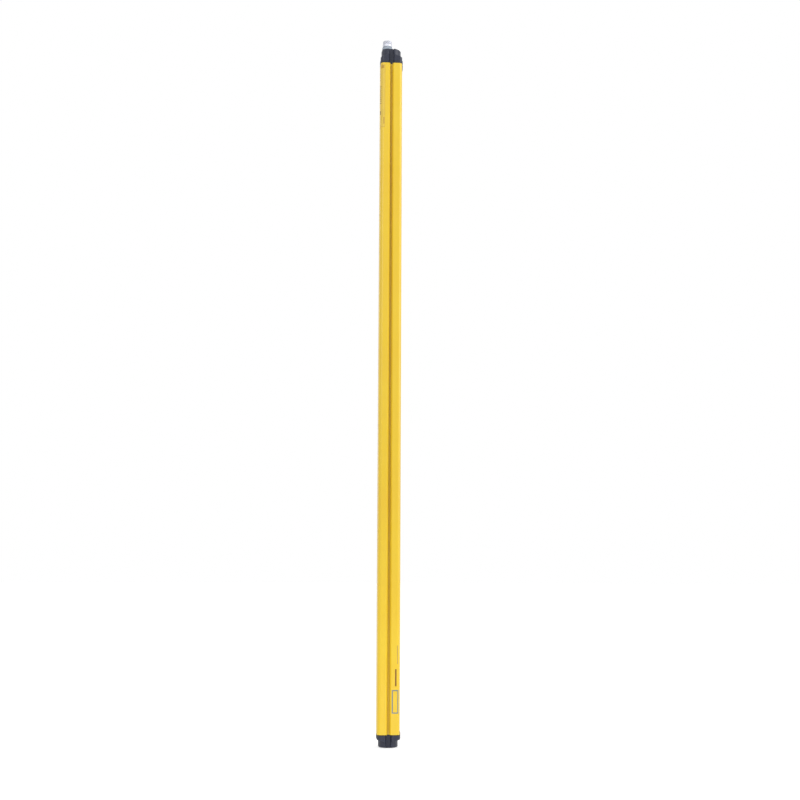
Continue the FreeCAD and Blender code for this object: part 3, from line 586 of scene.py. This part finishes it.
def thread_tree():
    """A helical ridge wound upwards from each point's height, with closed ends."""
    tree, given, result = geometry_tree(
        "Coupling Thread", Core_Radius=10.9 * MM, Length=6.6 * MM, Pitch=1.0 * MM, Depth=0.6 * MM)
    core, length, pitch, depth = (given[name] for name in ("Core Radius", "Length", "Pitch", "Depth"))
    path = add(tree, "GeometryNodeCurveSpiral", {
        "Resolution": 72, "Rotations": reckon(tree, "DIVIDE", length, pitch), "Start Radius": core,
        "End Radius": core, "Height": length})[0]
    upright = add(tree, "GeometryNodeSetCurveNormal", {"Curve": path}, mode="Z_UP")[0]
    half, flat, inside = times(tree, pitch, 0.48), times(tree, pitch, 0.08), times(tree, depth, -0.5)
    corners = [(depth, times(tree, flat, -1.0)), (depth, flat), (inside, half), (inside, times(tree, half, -1.0))]
    section = add(tree, "GeometryNodeCurvePrimitiveQuadrilateral",
                  {f"Point {n}": combine(tree, *corner) for n, corner in enumerate(corners, 1)}, mode="POINTS")
    ridge = add(tree, "GeometryNodeCurveToMesh", {"Curve": upright, "Profile Curve": section[0],
                                                  "Fill Caps": True})[0]
    return end_tree(tree, given, result, ridge)


def contact_tree():
    """Round-ended contacts in a ring with one in the middle, at each point."""
    tree, given, result = geometry_tree(
        "Contacts", Contact_Radius=1.0 * MM, Circle_Radius=5.2 * MM, Height=9.0 * MM, Tail=4.0 * MM, Count=6)
    radius, facets = given["Contact Radius"], 28
    top = minus(tree, given["Height"], radius)
    shaft = cylinder_from(tree, facets, radius, times(tree, given["Tail"], -1.0), top)
    tip = add(tree, "GeometryNodeMeshUVSphere", {"Segments": facets, "Rings": facets // 2, "Radius": radius})
    contact = join_solids(tree, shaft, raised(tree, tip["Mesh"], top))
    ring = add(tree, "GeometryNodeMeshCircle", {"Vertices": given["Count"], "Radius": given["Circle Radius"]})
    centre = add(tree, "GeometryNodeMeshLine", {"Count": 1})
    places = tree.nodes.new("GeometryNodeJoinGeometry")
    for part in (ring, centre):
        tree.links.new(part[0], places.inputs[0])
    return end_tree(tree, given, result, place_on(tree, places.outputs[0], contact))


def random_value(tree, kind, socket_type, low, high, seed):
    """A random value for each point, between two limits."""
    outputs = add(tree, "FunctionNodeRandomValue", {"Seed": seed}, data_type=kind)
    limits = [s for s in outputs[0].node.inputs if s.type == socket_type and s.name in ("Min", "Max")]
    limits[0].default_value, limits[1].default_value = low, high
    return next(s for s in outputs if s.type == socket_type)


def chip_tree():
    """Small square-ended components scattered over the faces of the boards that lie free."""
    tree, given, result = geometry_tree(
        "Board Components", Spacing=7.0 * MM, Size=(3.2 * MM, 1.1 * MM, 1.6 * MM), Seed=4)
    scattered = add(tree, "GeometryNodeDistributePointsOnFaces", {
        "Mesh": given["Geometry"], "Distance Min": given["Spacing"], "Density Max": 9000.0,
        "Seed": given["Seed"]}, distribute_method="POISSON")["Points"]
    block = add(tree, "GeometryNodeMeshCube", {"Size": given["Size"]})["Mesh"]
    quarter = random_value(tree, "INT", "INT", 0, 1, given["Seed"])
    turn = combine(tree, y=times(tree, quarter, pi / 2))
    factor = random_value(tree, "FLOAT", "VALUE", 0.6, 1.25, 11)
    return end_tree(tree, given, result, block, scattered, Rotation=turn, Scale=factor)


# ---------------- sheets that wrap the housing


def outline_place(along, lift, toward):
    """Point on the housing's outline by distance from where a left corner's arc starts.

    Negative distances lie on the left face, then comes the arc, then the back face where toward is 1 or the front
    face where it is -1.
    """
    centre = Vector((CORNER_RADIUS - HOUSING_HIGH.x, HOUSING_HIGH.y - CORNER_RADIUS))
    if along <= 0:
        place = Vector((-HOUSING_HIGH.x - lift, centre.y + along))
    elif along < CORNER_ARC:
        angle = pi - along / CORNER_RADIUS
        place = centre + (CORNER_RADIUS + lift) * Vector((cos(angle), sin(angle)))
    else:
        place = Vector((centre.x + along - CORNER_ARC, HOUSING_HIGH.y + lift))
    return place.x, place.y * toward


def cuts(limits, edges, step):
    """Places from one limit to the other, at every edge between them and no further apart than step."""
    places = sorted({*limits, *(e for e in edges if limits[0] < e < limits[1])})
    filled = []
    for a, b in zip(places, places[1:]):
        parts = max(1, ceil((b - a) / step))
        filled += [a + (b - a) * n / parts for n in range(parts)]
    return filled + [places[-1]]


def sheet(name, fields, materials, across, heights, thickness, toward=1):
    """A closed thin sheet on the housing's outline, cut at its fields' edges so that each field is its own faces.

    fields is a list of (low across, high across, low height, high height, material number); later ones lie on top.
    """
    columns = cuts(across, [v for f in fields for v in f[:2]], SHEET_COLUMN)
    rows = cuts(heights, [v for f in fields for v in f[2:4]], SHEET_ROW)
    wide, tall = len(columns), len(rows)
    under = wide * tall  # the first point of the underside
    vertices = [(*outline_place(u, lift, toward), height) for lift in (thickness, -SHEET_SUNK)
                for height in rows for u in columns]
    faces, numbers = [], []
    for r in range(tall - 1):
        for c in range(wide - 1):
            u, height = (columns[c] + columns[c + 1]) / 2, (rows[r] + rows[r + 1]) / 2
            number = 0
            for low, high, bottom, top, which in fields:
                if low < u < high and bottom < height < top:
                    number = which
            start = r * wide + c
            faces += [(start, start + wide, start + wide + 1, start + 1),
                      (under + start, under + start + 1, under + start + wide + 1, under + start + wide)]
            numbers += [number, 0]
    sides = [(r * wide + c, (r + 1) * wide + c) for r in range(tall - 1) for c in (0, wide - 1)]
    sides += [(r * wide + c, r * wide + c + 1) for c in range(wide - 1) for r in (0, tall - 1)]
    faces += [(a, b, under + b, under + a) for a, b in sides]
    numbers += [0] * len(sides)
    return close_mesh(mesh_from(name, vertices, faces, materials, numbers))


# ---------------- operators


class CURTAIN_OT_coat_housing(Operator):
    """Powder-coats the housing and finishes its window, seals and gaskets"""

    bl_idname = "curtain.coat_housing"
    bl_label = "Coat Housing"

    def execute(self, context):
        colours = settings(context)[1]
        give(self.powder_coat(colours), "housing_profile")
        give(clear_pane("window_pane", colours.window, 0.04, [sqrt(c) for c in colours.window]), "front_window")
        # Painted highlight on the rubber's edges in a colour 2.5 times lighter, and painted shade in its recesses.
        rubber = moulded_plastic("black_rubber", colours.rubber, shade(colours.rubber, 2.5), 0.75, 0.2 * MM)
        give(rubber, "bottom_gasket", "top_gasket", "window_seal_left", "window_seal_right", "connector_seal")
        return {"FINISHED"}

    def powder_coat(self, colours):
        """Powder coat: a painted highlight on its edges, painted shade and less gloss in the slots, with the die's
        lines showing through.
        """
        coat, tree, shader, place = start_material("powder_coat", Specular_IOR_Level=0.45, Coat_Roughness=0.2)
        edges = use_group(tree, "Rounded Edges", Radius=0.35 * MM)
        body = drift(tree, place, colours.coating, colours.coating_shade, 6.0, 1100.0)
        # Painted highlight: a paler yellow blended onto the rounded edges.
        painted_highlight = times(tree, edges["Edge"], 0.25)
        pale = [min(1.0, c * 1.15 + 0.03) for c in colours.coating]
        # Painted shade: the recess mask darkens the coat's colour in the slots; it also roughens the coat there and
        # takes its gloss away.
        recess = use_group(tree, "Recesses", Reach=14.0 * MM)["Mask"]
        open_faces = blend_colours(tree, painted_highlight, body, pale)
        feed(shader, "Base Color", blend_colours(tree, recess, open_faces, colours.coating_painted_shade))
        smooth = smudged(tree, place, 11.0, 0.5, 0.42, 0.34)
        feed(shader, "Roughness", reckon(tree, "MAXIMUM", smooth, recess))
        gloss = smudged(tree, place, 11.0, 0.5, 0.6, 0.35)
        feed(shader, "Coat Weight", times(tree, gloss, minus(tree, 1.0, recess)))
        peel = use_group(tree, "Orange Peel", Vector=place, Wave_Scale=380.0, Grain_Scale=2600.0)["Height"]
        drawn = use_group(tree, "Drawn Lines", Vector=place, Stretch=(1.0, 1.0, 0.004), Scale=700.0)["Height"]
        height = plus(tree, peel, times(tree, drawn, 0.4))
        raise_surface(tree, shader, height, 0.03 * MM, 0.5, Normal=edges["Normal"])
        return coat


class CURTAIN_OT_finish_caps(Operator):
    """Gives the moulded end caps their grain, softened edges with a painted highlight and painted shade in their
    recesses
    """

    bl_idname = "curtain.finish_caps"
    bl_label = "Finish End Caps"

    def execute(self, context):
        sizes, colours = settings(context)
        # Painted highlight on the caps' rounded edges in a colour four times lighter, and strong painted shade in
        # their recesses.
        cap = moulded_plastic("moulded_cap", colours.cap, shade(colours.cap, 4.0), 0.42, sizes.edge_radius,
                              painted_edge_highlight=0.5, gloss=0.4, painted_recess_shade=0.9)
        give(cap, "bottom_cap", "top_cap")
        return {"FINISHED"}


class CURTAIN_OT_fit_cap_screws(Operator):
    """Puts a socket-head screw at each corner of both end caps"""

    bl_idname = "curtain.fit_cap_screws"
    bl_label = "Fit Cap Screws"

    def execute(self, context):
        sizes, colours = settings(context)
        steel = plated_metal("zinc_plate", colours.steel, 0.32, 0.05, 0.15 * MM)
        tree = screw_tree()
        inset, height = sizes.screw_head_radius, sizes.screw_head_height
        for end, turn_over in (("top", 0.0), ("bottom", 1.0)):
            low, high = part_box(f"{end}_cap_screws")
            head_foot = high.z - height if end == "top" else low.z + height
            corners = [(x, y, head_foot) for x in (low.x + inset, high.x - inset)
                       for y in (low.y + inset, high.y - inset)]
            mesh = grow(f"cap_screw_heads_{end}", tree, {
                "Head Radius": inset, "Head Height": height, "Shank Radius": sizes.screw_shank_radius,
                "Socket Across": sizes.screw_socket, "Shank Length": high.z - low.z - height,
                "Turn Over": turn_over, "Material": steel}, corners)
            finish_piece(mesh.name, mesh, [f"{end}_cap_screws"])
        return {"FINISHED"}


class CURTAIN_OT_build_connector(Operator):
    """Turns the round connector with its hexagon and coupling thread, and sets its contacts"""

    bl_idname = "curtain.build_connector"
    bl_label = "Build Connector"

    def execute(self, context):
        sizes, colours = settings(context)
        nickel = plated_metal("nickel_plate", colours.connector, 0.55, 0.02, 0.25 * MM, srgb("#8E93A0"), 0.6)
        dull = plated_metal("dull_nickel", colours.connector_foot, 0.6, 0.02, 0.25 * MM, srgb("#6E7884"), 0.4)
        give(dull, "connector_lock_nut")
        give_plastic("contact_insert", "#202226", "#50545C", 0.5, 0.2, "connector_insert", *numbered("board_link", 3))
        give_plastic("wire_sleeve", "#2B2E33", "#5A5E66", 0.6, 0.2, "connector_wires")
        gold = plated_metal("gold_plate", colours.gold, 0.22, 0.05, 0.1 * MM)
        centre = (0.0, (SHELL_LOW.y + SHELL_HIGH.y) / 2)
        self.turn_body(sizes, centre, nickel, dull)
        mesh = grow("connector_contacts", contact_tree(), {
            "Contact Radius": sizes.contact_radius, "Circle Radius": sizes.contact_circle,
            "Height": PINS_HIGH.z - INSERT_HIGH.z, "Tail": INSERT_HIGH.z - PINS_LOW.z,
            "Count": sizes.contact_count, "Material": gold}, [(*centre, INSERT_HIGH.z)])
        finish_piece("connector_contacts", mesh, ["connector_pins"])
        return {"FINISHED"}

    def turn_body(self, sizes, centre, metal, foot_metal):
        """The body on its own axis, from the shank in the cap to the lead of the thread."""
        thread, thread_length, lead_length, lead_depth = 11.5 * MM, 6.6 * MM, 1.3 * MM, 0.5 * MM
        collar, collar_length, relief, relief_length = 11.9 * MM, 6.2 * MM, 10.8 * MM, 1.2 * MM
        flange, flange_thickness, hexagon_height = 13.4 * MM, 2.6 * MM, 4.4 * MM
        bore, shank, shank_bore, chamfer = 9.6 * MM, 9.0 * MM, 7.4 * MM, 0.35 * MM
        core = thread - sizes.thread_depth
        foot, top = SHELL_LOW.z, SHELL_HIGH.z
        lead = top - lead_length
        thread_foot = lead - thread_length
        collar_top = thread_foot - relief_length
        collar_foot = collar_top - collar_length
        hexagon_top = collar_foot - relief_length
        ledge = hexagon_top - hexagon_height
        flange_foot = ledge - flange_thickness
        profile = [
            (shank_bore, foot), (shank - chamfer, foot), (shank, foot + chamfer), (shank, flange_foot),
            (flange - chamfer, flange_foot), (flange, flange_foot + chamfer), (flange, ledge - chamfer),
            (flange - chamfer, ledge), (relief, ledge), (relief, collar_foot), (collar - chamfer, collar_foot),
            (collar, collar_foot + chamfer), (collar, collar_top - chamfer), (collar - chamfer, collar_top),
            (relief, collar_top), (relief, thread_foot), (core, thread_foot), (core, lead), (core - lead_depth, top),
            (bore + chamfer, top), (bore, top - chamfer), (bore, ledge), (shank_bore, ledge)]
        edit = bmesh.new()
        bridge(edit, [ring_of(edit, centre, height, [radius] * LATHE_STEPS) for radius, height in profile])
        self.add_hexagon(edit, centre, relief - HEXAGON_SUNK, ledge - SKIN, hexagon_top)
        for face in edit.faces:
            face.material_index = int(face.calc_center_median().z < hexagon_top + SKIN / 2)
        mesh = mesh_from("connector_body", [], [], (metal, foot_metal))
        close_up(edit, mesh)
        finish_piece("connector_body", mesh, ["connector_shell"])
        ridge = grow("connector_thread", thread_tree(), {
            "Core Radius": core, "Length": lead - thread_foot, "Pitch": sizes.thread_pitch,
            "Depth": sizes.thread_depth, "Material": metal}, [(*centre, thread_foot)])
        finish_piece("connector_thread", ridge, ["connector_shell"])

    def add_hexagon(self, edit, centre, inner, bottom, top):
        """A hexagon ring with its corners turned back, closed on all sides."""
        across, turned_back, sixth, steps = 23.0 * MM, 0.6 * MM, pi / 3, 72
        reaches = [across / 2 / cos((2 * pi * n / steps + sixth / 2) % sixth - sixth / 2)
                   for n in range(steps)]
        corner, blunt = across / sqrt(3), across / 2 + 0.2 * MM
        rings = [ring_of(edit, centre, height, [min(reach, limit) for reach in reaches], sixth)
                 for height, limit in ((bottom, corner), (top - turned_back, corner), (top, blunt))]
        rings += [ring_of(edit, centre, height, [inner] * steps, sixth) for height in (top, bottom)]
        bridge(edit, rings)


class CURTAIN_OT_dress_boards(Operator):
    """Finishes the circuit boards and their parts, and scatters the small components"""

    bl_idname = "curtain.dress_boards"
    bl_label = "Dress Circuit Boards"

    def execute(self, context):
        give(self.laminate(settings(context)[1].laminate), *numbered("circuit_board", 4))
        give_plastic("chip_epoxy", "#1D1F22", "#55585E", 0.55, 0.15, "processor_1", "processor_2", "power_module")
        give_plastic("header_plastic", "#D8D6CC", "#F0EEE6", 0.5, 0.2, "wiring_header")
        ceramic = give_plastic("chip_ceramic", "#8B7A66", "#C9C3B8", 0.45, 0.1)
        corners, faces = self.free_fields()
        mesh = grow("board_components", chip_tree(), {"Material": ceramic}, corners, faces)
        finish_piece("board_components", mesh)
        return {"FINISHED"}

    def laminate(self, colour):
        """Solder mask over the board, with the tracks showing through it."""
        material, tree, shader, place = start_material("board_laminate", Specular_IOR_Level=0.5)
        tracks = add(tree, "ShaderNodeTexBrick", {
            "Vector": place, "Scale": 90.0, "Color1": (0.0, 0.0, 0.0, 1.0), "Color2": (0.35, 0.35, 0.35, 1.0),
            "Mortar": (1.0, 1.0, 1.0, 1.0), "Mortar Size": 0.05})["Color"]
        body = drift(tree, place, colour, shade(colour, 0.8), 30.0)
        light = [min(1.0, c) for c in shade(colour, 1.9)]
        feed(shader, "Base Color", blend_colours(tree, tracks, body, light))
        feed(shader, "Roughness", smudged(tree, place, 50.0, 0.5, 0.3, 0.42))
        raise_surface(tree, shader, tracks, 0.03 * MM, 0.6)
        return material

    def free_fields(self):
        """Corners and faces of the boards' bare fields between the beam tubes, clear of the links."""
        half_width, past_tube, past_link, above_board = 19 * MM, 8 * MM, 14 * MM, 0.5 * MM
        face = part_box("circuit_board_1")[0].y - above_board
        tubes = [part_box(name) for name in numbered("beam_tube", 8)]
        spans = []
        for low, high in zip(tubes, tubes[1:]):
            bottom, top = low[1].z + past_tube, high[0].z - past_tube
            middle = (bottom + top) / 2
            spans += [(bottom, middle - past_link), (middle + past_link, top)]
        spans = spans[:-2]  # the last two hold the processors and the power module
        corners = [(x, face, z) for a, b in spans
                   for x, z in ((-half_width, a), (half_width, a), (half_width, b), (-half_width, b))]
        return corners, [tuple(range(n, n + 4)) for n in range(0, len(corners), 4)]


class CURTAIN_OT_dress_beam_modules(Operator):
    """Finishes the beam tubes, lenses and emitters, and draws the display's segments"""

    bl_idname = "curtain.dress_beam_modules"
    bl_label = "Dress Beam Modules"

    def execute(self, context):
        tube_colour = settings(context)[1].tube
        # Painted highlight on the tubes' edges in a colour three times lighter, and painted shade in their recesses.
        tube = moulded_plastic("tube_plastic", tube_colour, shade(tube_colour, 3.0), 0.5, 0.25 * MM)
        give(tube, "display_holder", *numbered("beam_tube", 8))
        give(clear_pane("lens_acrylic", srgb("#EDEFF4"), 0.02, srgb("#F2F2F2")), *numbered("beam_lens", 8))
        give(clear_pane("emitter_resin", srgb("#CFC6E8"), 0.05, srgb("#E0DAF0")), *numbered("beam_led", 8))
        give(flat_ink("display_mask", srgb("#151517"), srgb("#1D1D20"), 0.35), "segment_display")
        self.draw_digit(flat_ink("unlit_segment", srgb("#8F8784"), srgb("#7F7875"), 0.4))
        return {"FINISHED"}

    def draw_digit(self, material):
        """Seven unlit segments on the display's face."""
        centre = (DISPLAY_LOW + DISPLAY_HIGH) / 2
        wide, tall, half_thick, gap = 3.4 * MM, 3.4 * MM, 0.35 * MM, 0.15 * MM
        front, back = DISPLAY_LOW.y - 0.08 * MM, DISPLAY_LOW.y + 0.1 * MM

        def bar(reach):
            flat = reach - half_thick
            return [(-reach, 0), (-flat, -half_thick), (flat, -half_thick), (reach, 0), (flat, half_thick),
                    (-flat, half_thick)]

        level, upright = bar(wide / 2 - gap), [(-b, a) for a, b in bar(tall / 2 - gap)]
        bars = [(0, n * tall, level) for n in (-1, 0, 1)]
        bars += [(side * wide / 2, n * tall / 2, upright) for side in (-1, 1) for n in (-1, 1)]
        vertices, faces = [], []
        for x, z, shape in bars:
            start, sides = len(vertices), len(shape)
            for y in (front, back):
                vertices += [(centre.x + x + a, y, centre.z + z + b) for a, b in shape]
            faces.append(tuple(start + n for n in range(sides)))
            faces.append(tuple(start + sides + n for n in reversed(range(sides))))
            for n in range(sides):
                after = (n + 1) % sides
                faces.append((start + n, start + sides + n, start + sides + after, start + after))
        mesh = close_mesh(mesh_from("display_segments", vertices, faces, [material]), smooth=False)
        finish_piece("display_segments", mesh)


class CURTAIN_OT_apply_type_label(Operator):
    """Lays the blank type label round the back corner near the housing's upper end"""

    bl_idname = "curtain.apply_type_label"
    bl_label = "Apply Type Label"

    def execute(self, context):
        sizes, colours = settings(context)
        inks = [flat_ink("label_film", colours.label, shade(colours.label, 0.94), 0.4),
                flat_ink("label_ink", colours.label_ink, shade(colours.label_ink, 0.85)),
                flat_ink("label_rule", colours.label_rule, shade(colours.label_rule, 0.9))]
        high = HOUSING_HIGH.z - sizes.label_from_top
        low = high - sizes.label_length
        start, end = -2.8 * MM, CORNER_ARC + 9.5 * MM
        rule, edge = 0.6 * MM, 0.5 * MM
        left, right, bottom, top = start + edge, end - edge, low + edge, high - edge
        fields = [(left, left + rule, bottom, top, 2), (right - rule, right, bottom, top, 2),
                  (left, right, bottom, bottom + rule, 2), (left, right, top - rule, top, 2),
                  (0.2 * MM, 9 * MM, high - 11 * MM, high - 2.5 * MM, 2),
                  (-0.6 * MM, 1.6 * MM, low + 8 * MM, low + 26 * MM, 2)]
        for n in range(9):  # close rows of uneven length
            line = high - (58 + n * 5.6) * MM
            fields.append((8.5 * MM, (15.5 + 5 * (n * 7 % 4) / 3) * MM, line - 2.6 * MM, line, 1))
        for n in range(4):  # wide-set rows, each second one shorter
            line = high - (16 + n * 8) * MM
            fields.append((11 * MM, (20 - n % 2 * 3) * MM, line - 2.2 * MM, line, 1))
        fields.append((9.5 * MM, 20 * MM, low + 34 * MM, low + 44 * MM, 1))
        mesh = sheet("type_label", fields, inks, (start, end), (low, high), sizes.label_thickness)
        finish_piece("type_label", mesh)
        return {"FINISHED"}


class CURTAIN_OT_print_front_marks(Operator):
    """Prints a blank frame and two plain rules round the front left corner near the lower end"""

    bl_idname = "curtain.print_front_marks"
    bl_label = "Print Front Marks"

    def execute(self, context):
        sizes, colours = settings(context)
        inks = [flat_ink(f"print_{name}", ink, shade(ink, 0.88)) for name, ink in
                (("grey", colours.mark_grey), ("brown", colours.mark_brown), ("pale", colours.mark_pale))]
        # millimetres along the outline and above the housing's foot, and each mark's ink
        left, right, low, high, stroke = -11.0, 5.0, 50.0, 105.0, 2.6
        marks = [(left, right, low, low + stroke, 0), (left, right, high - stroke, high, 0),
                 (left, left + stroke, low + stroke, high - stroke, 0),
                 (right - stroke, right, low + stroke, high - stroke, 0),
                 (-3.4, 0.2, 114.0, 154.0, 1), (1.6, 3.4, 166.0, 210.0, 2)]
        pieces = bmesh.new()
        for left, right, low, high, number in marks:
            heights = (HOUSING_LOW.z + low * MM, HOUSING_LOW.z + high * MM)
            mark = sheet("mark", [], inks, (left * MM, right * MM), heights, sizes.print_thickness, toward=-1)
            for face in mark.polygons:
                face.material_index = number
            pieces.from_mesh(mark)
            bpy.data.meshes.remove(mark)
        mesh = mesh_from("side_marks", [], [], inks)
        pieces.to_mesh(mesh)
        pieces.free()
        finish_piece("side_marks", mesh)
        return {"FINISHED"}


class CURTAIN_OT_set_stage(Operator):
    """Sets the pale floor, the soft lights and the camera"""

    bl_idname = "curtain.set_stage"
    bl_label = "Set Stage"

    def execute(self, context):
        scene, stage = context.scene, context.scene.curtain_stage
        scene.view_settings.view_transform = "Standard"
        self.set_world(scene, stage)
        self.lay_floor(stage)
        middle, foot = (CAD_BOX[0] + CAD_BOX[1]) / 2, Vector((0.0, 0.0, CAD_BOX[0].z))
        self.hang_light("side_light", (-2.6, 1.3, 1.5), middle, (1.4, 2.4), stage.side_power)
        self.hang_light("front_light", (-1.05, -2.45, 1.2), middle, (1.0, 3.4), stage.front_power)
        self.hang_light("low_light", (-0.55, 0.02, 0.06), foot, (0.2, 0.1), stage.low_power, shines=False)
        self.place_camera(scene, stage)
        return {"FINISHED"}

    def seen_directly(self, tree):
        """1 for rays from the camera, or from it by way of gloss or glass."""
        path = add(tree, "ShaderNodeLightPath")
        either = reckon(tree, "MAXIMUM", path["Is Camera Ray"], path["Is Glossy Ray"])
        return reckon(tree, "MAXIMUM", either, path["Is Transmission Ray"])

    def set_world(self, scene, stage):
        """An even light that is white where it is seen."""
        world = bpy.data.worlds.new("studio")
        world.use_nodes = True
        tree = world.node_tree
        ground = tree.nodes["Background"]
        ground.inputs["Color"].default_value = (1.0, 1.0, 1.0, 1.0)
        feed(ground, "Strength", spread(tree, self.seen_directly(tree), 0.0, 1.0, stage.ambient, 1.0))
        scene.world = world

    def lay_floor(self, stage):
        """A wide floor whose glow, for the camera only, brings it up to white and leaves the shadow."""
        reach, glow, level = 30.0, 0.58, CAD_BOX[0].z
        material, tree, shader, place = start_material("studio_floor", Roughness=0.9, Specular_IOR_Level=0.1)
        feed(shader, "Base Color", drift(tree, place, stage.floor, shade(stage.floor, 0.98), 2.0, 60.0))
        shader.inputs["Emission Color"].default_value = (1.0, 1.0, 1.0, 1.0)
        feed(shader, "Emission Strength", times(tree, self.seen_directly(tree), glow))
        corners = [(-reach, -reach, level), (reach, -reach, level), (reach, reach, level), (-reach, reach, level)]
        new_object("floor", mesh_from("floor", corners, [(0, 1, 2, 3)], [material]))

    def hang_light(self, name, away, target, size, power, shines=True):
        """A soft rectangular light away from its target and turned to it."""
        lamp = bpy.data.lights.new(name, "AREA")
        lamp.shape, lamp.energy = "RECTANGLE", power
        lamp.size, lamp.size_y = size
        light = new_object(name, lamp)
        light.location = target + Vector(away)
        light.visible_camera = False
        light.visible_glossy = shines
        light.rotation_mode = "QUATERNION"
        light.rotation_quaternion = (-Vector(away)).to_track_quat("-Z", "Y")

    def place_camera(self, scene, stage):
        lens = bpy.data.cameras.new("camera")
        lens.lens, lens.sensor_width = stage.focal_length, 36.0
        camera = new_object("camera", lens)
        turn, away = stage.camera_turn, stage.camera_distance
        camera.location = (-away * cos(turn), away * sin(turn), stage.camera_height)
        aim = Vector((0.0, -stage.aim_forward, stage.aim_height)) - camera.location
        camera.rotation_mode = "QUATERNION"
        camera.rotation_quaternion = aim.to_track_quat("-Z", "Y") @ Quaternion((0.0, 0.0, 1.0), stage.camera_roll)
        scene.camera = camera


SETTINGS = {"curtain_sizes": CurtainSizes, "curtain_colours": CurtainColours, "curtain_stage": CurtainStage}
STEPS = (CURTAIN_OT_coat_housing, CURTAIN_OT_finish_caps, CURTAIN_OT_fit_cap_screws, CURTAIN_OT_build_connector,
         CURTAIN_OT_dress_boards, CURTAIN_OT_dress_beam_modules, CURTAIN_OT_apply_type_label,
         CURTAIN_OT_print_front_marks, CURTAIN_OT_set_stage)


class CURTAIN_PT_build(Panel):
    """Lists the build steps with their sizes and colours"""

    bl_idname = "CURTAIN_PT_build"
    bl_label = "Light Curtain"
    bl_space_type = "VIEW_3D"
    bl_region_type = "UI"
    bl_category = "Light Curtain"

    def draw(self, context):
        for step in STEPS:
            self.layout.operator(step.bl_idname)
        for name, group in SETTINGS.items():
            box = self.layout.box()
            for item in group.__annotations__:
                box.prop(getattr(context.scene, name), item)


CLASSES = (*SETTINGS.values(), *STEPS, CURTAIN_PT_build)


def register():
    for cls in CLASSES:
        bpy.utils.register_class(cls)
    for name, group in SETTINGS.items():
        setattr(Scene, name, PointerProperty(type=group))


def unregister():
    for name in SETTINGS:
        delattr(Scene, name)
    for cls in reversed(CLASSES):
        bpy.utils.unregister_class(cls)


def main():
    register()
    for step in STEPS:
        getattr(bpy.ops.curtain, step.bl_idname.split(".")[1])()


if __name__ == "__main__":
    main()
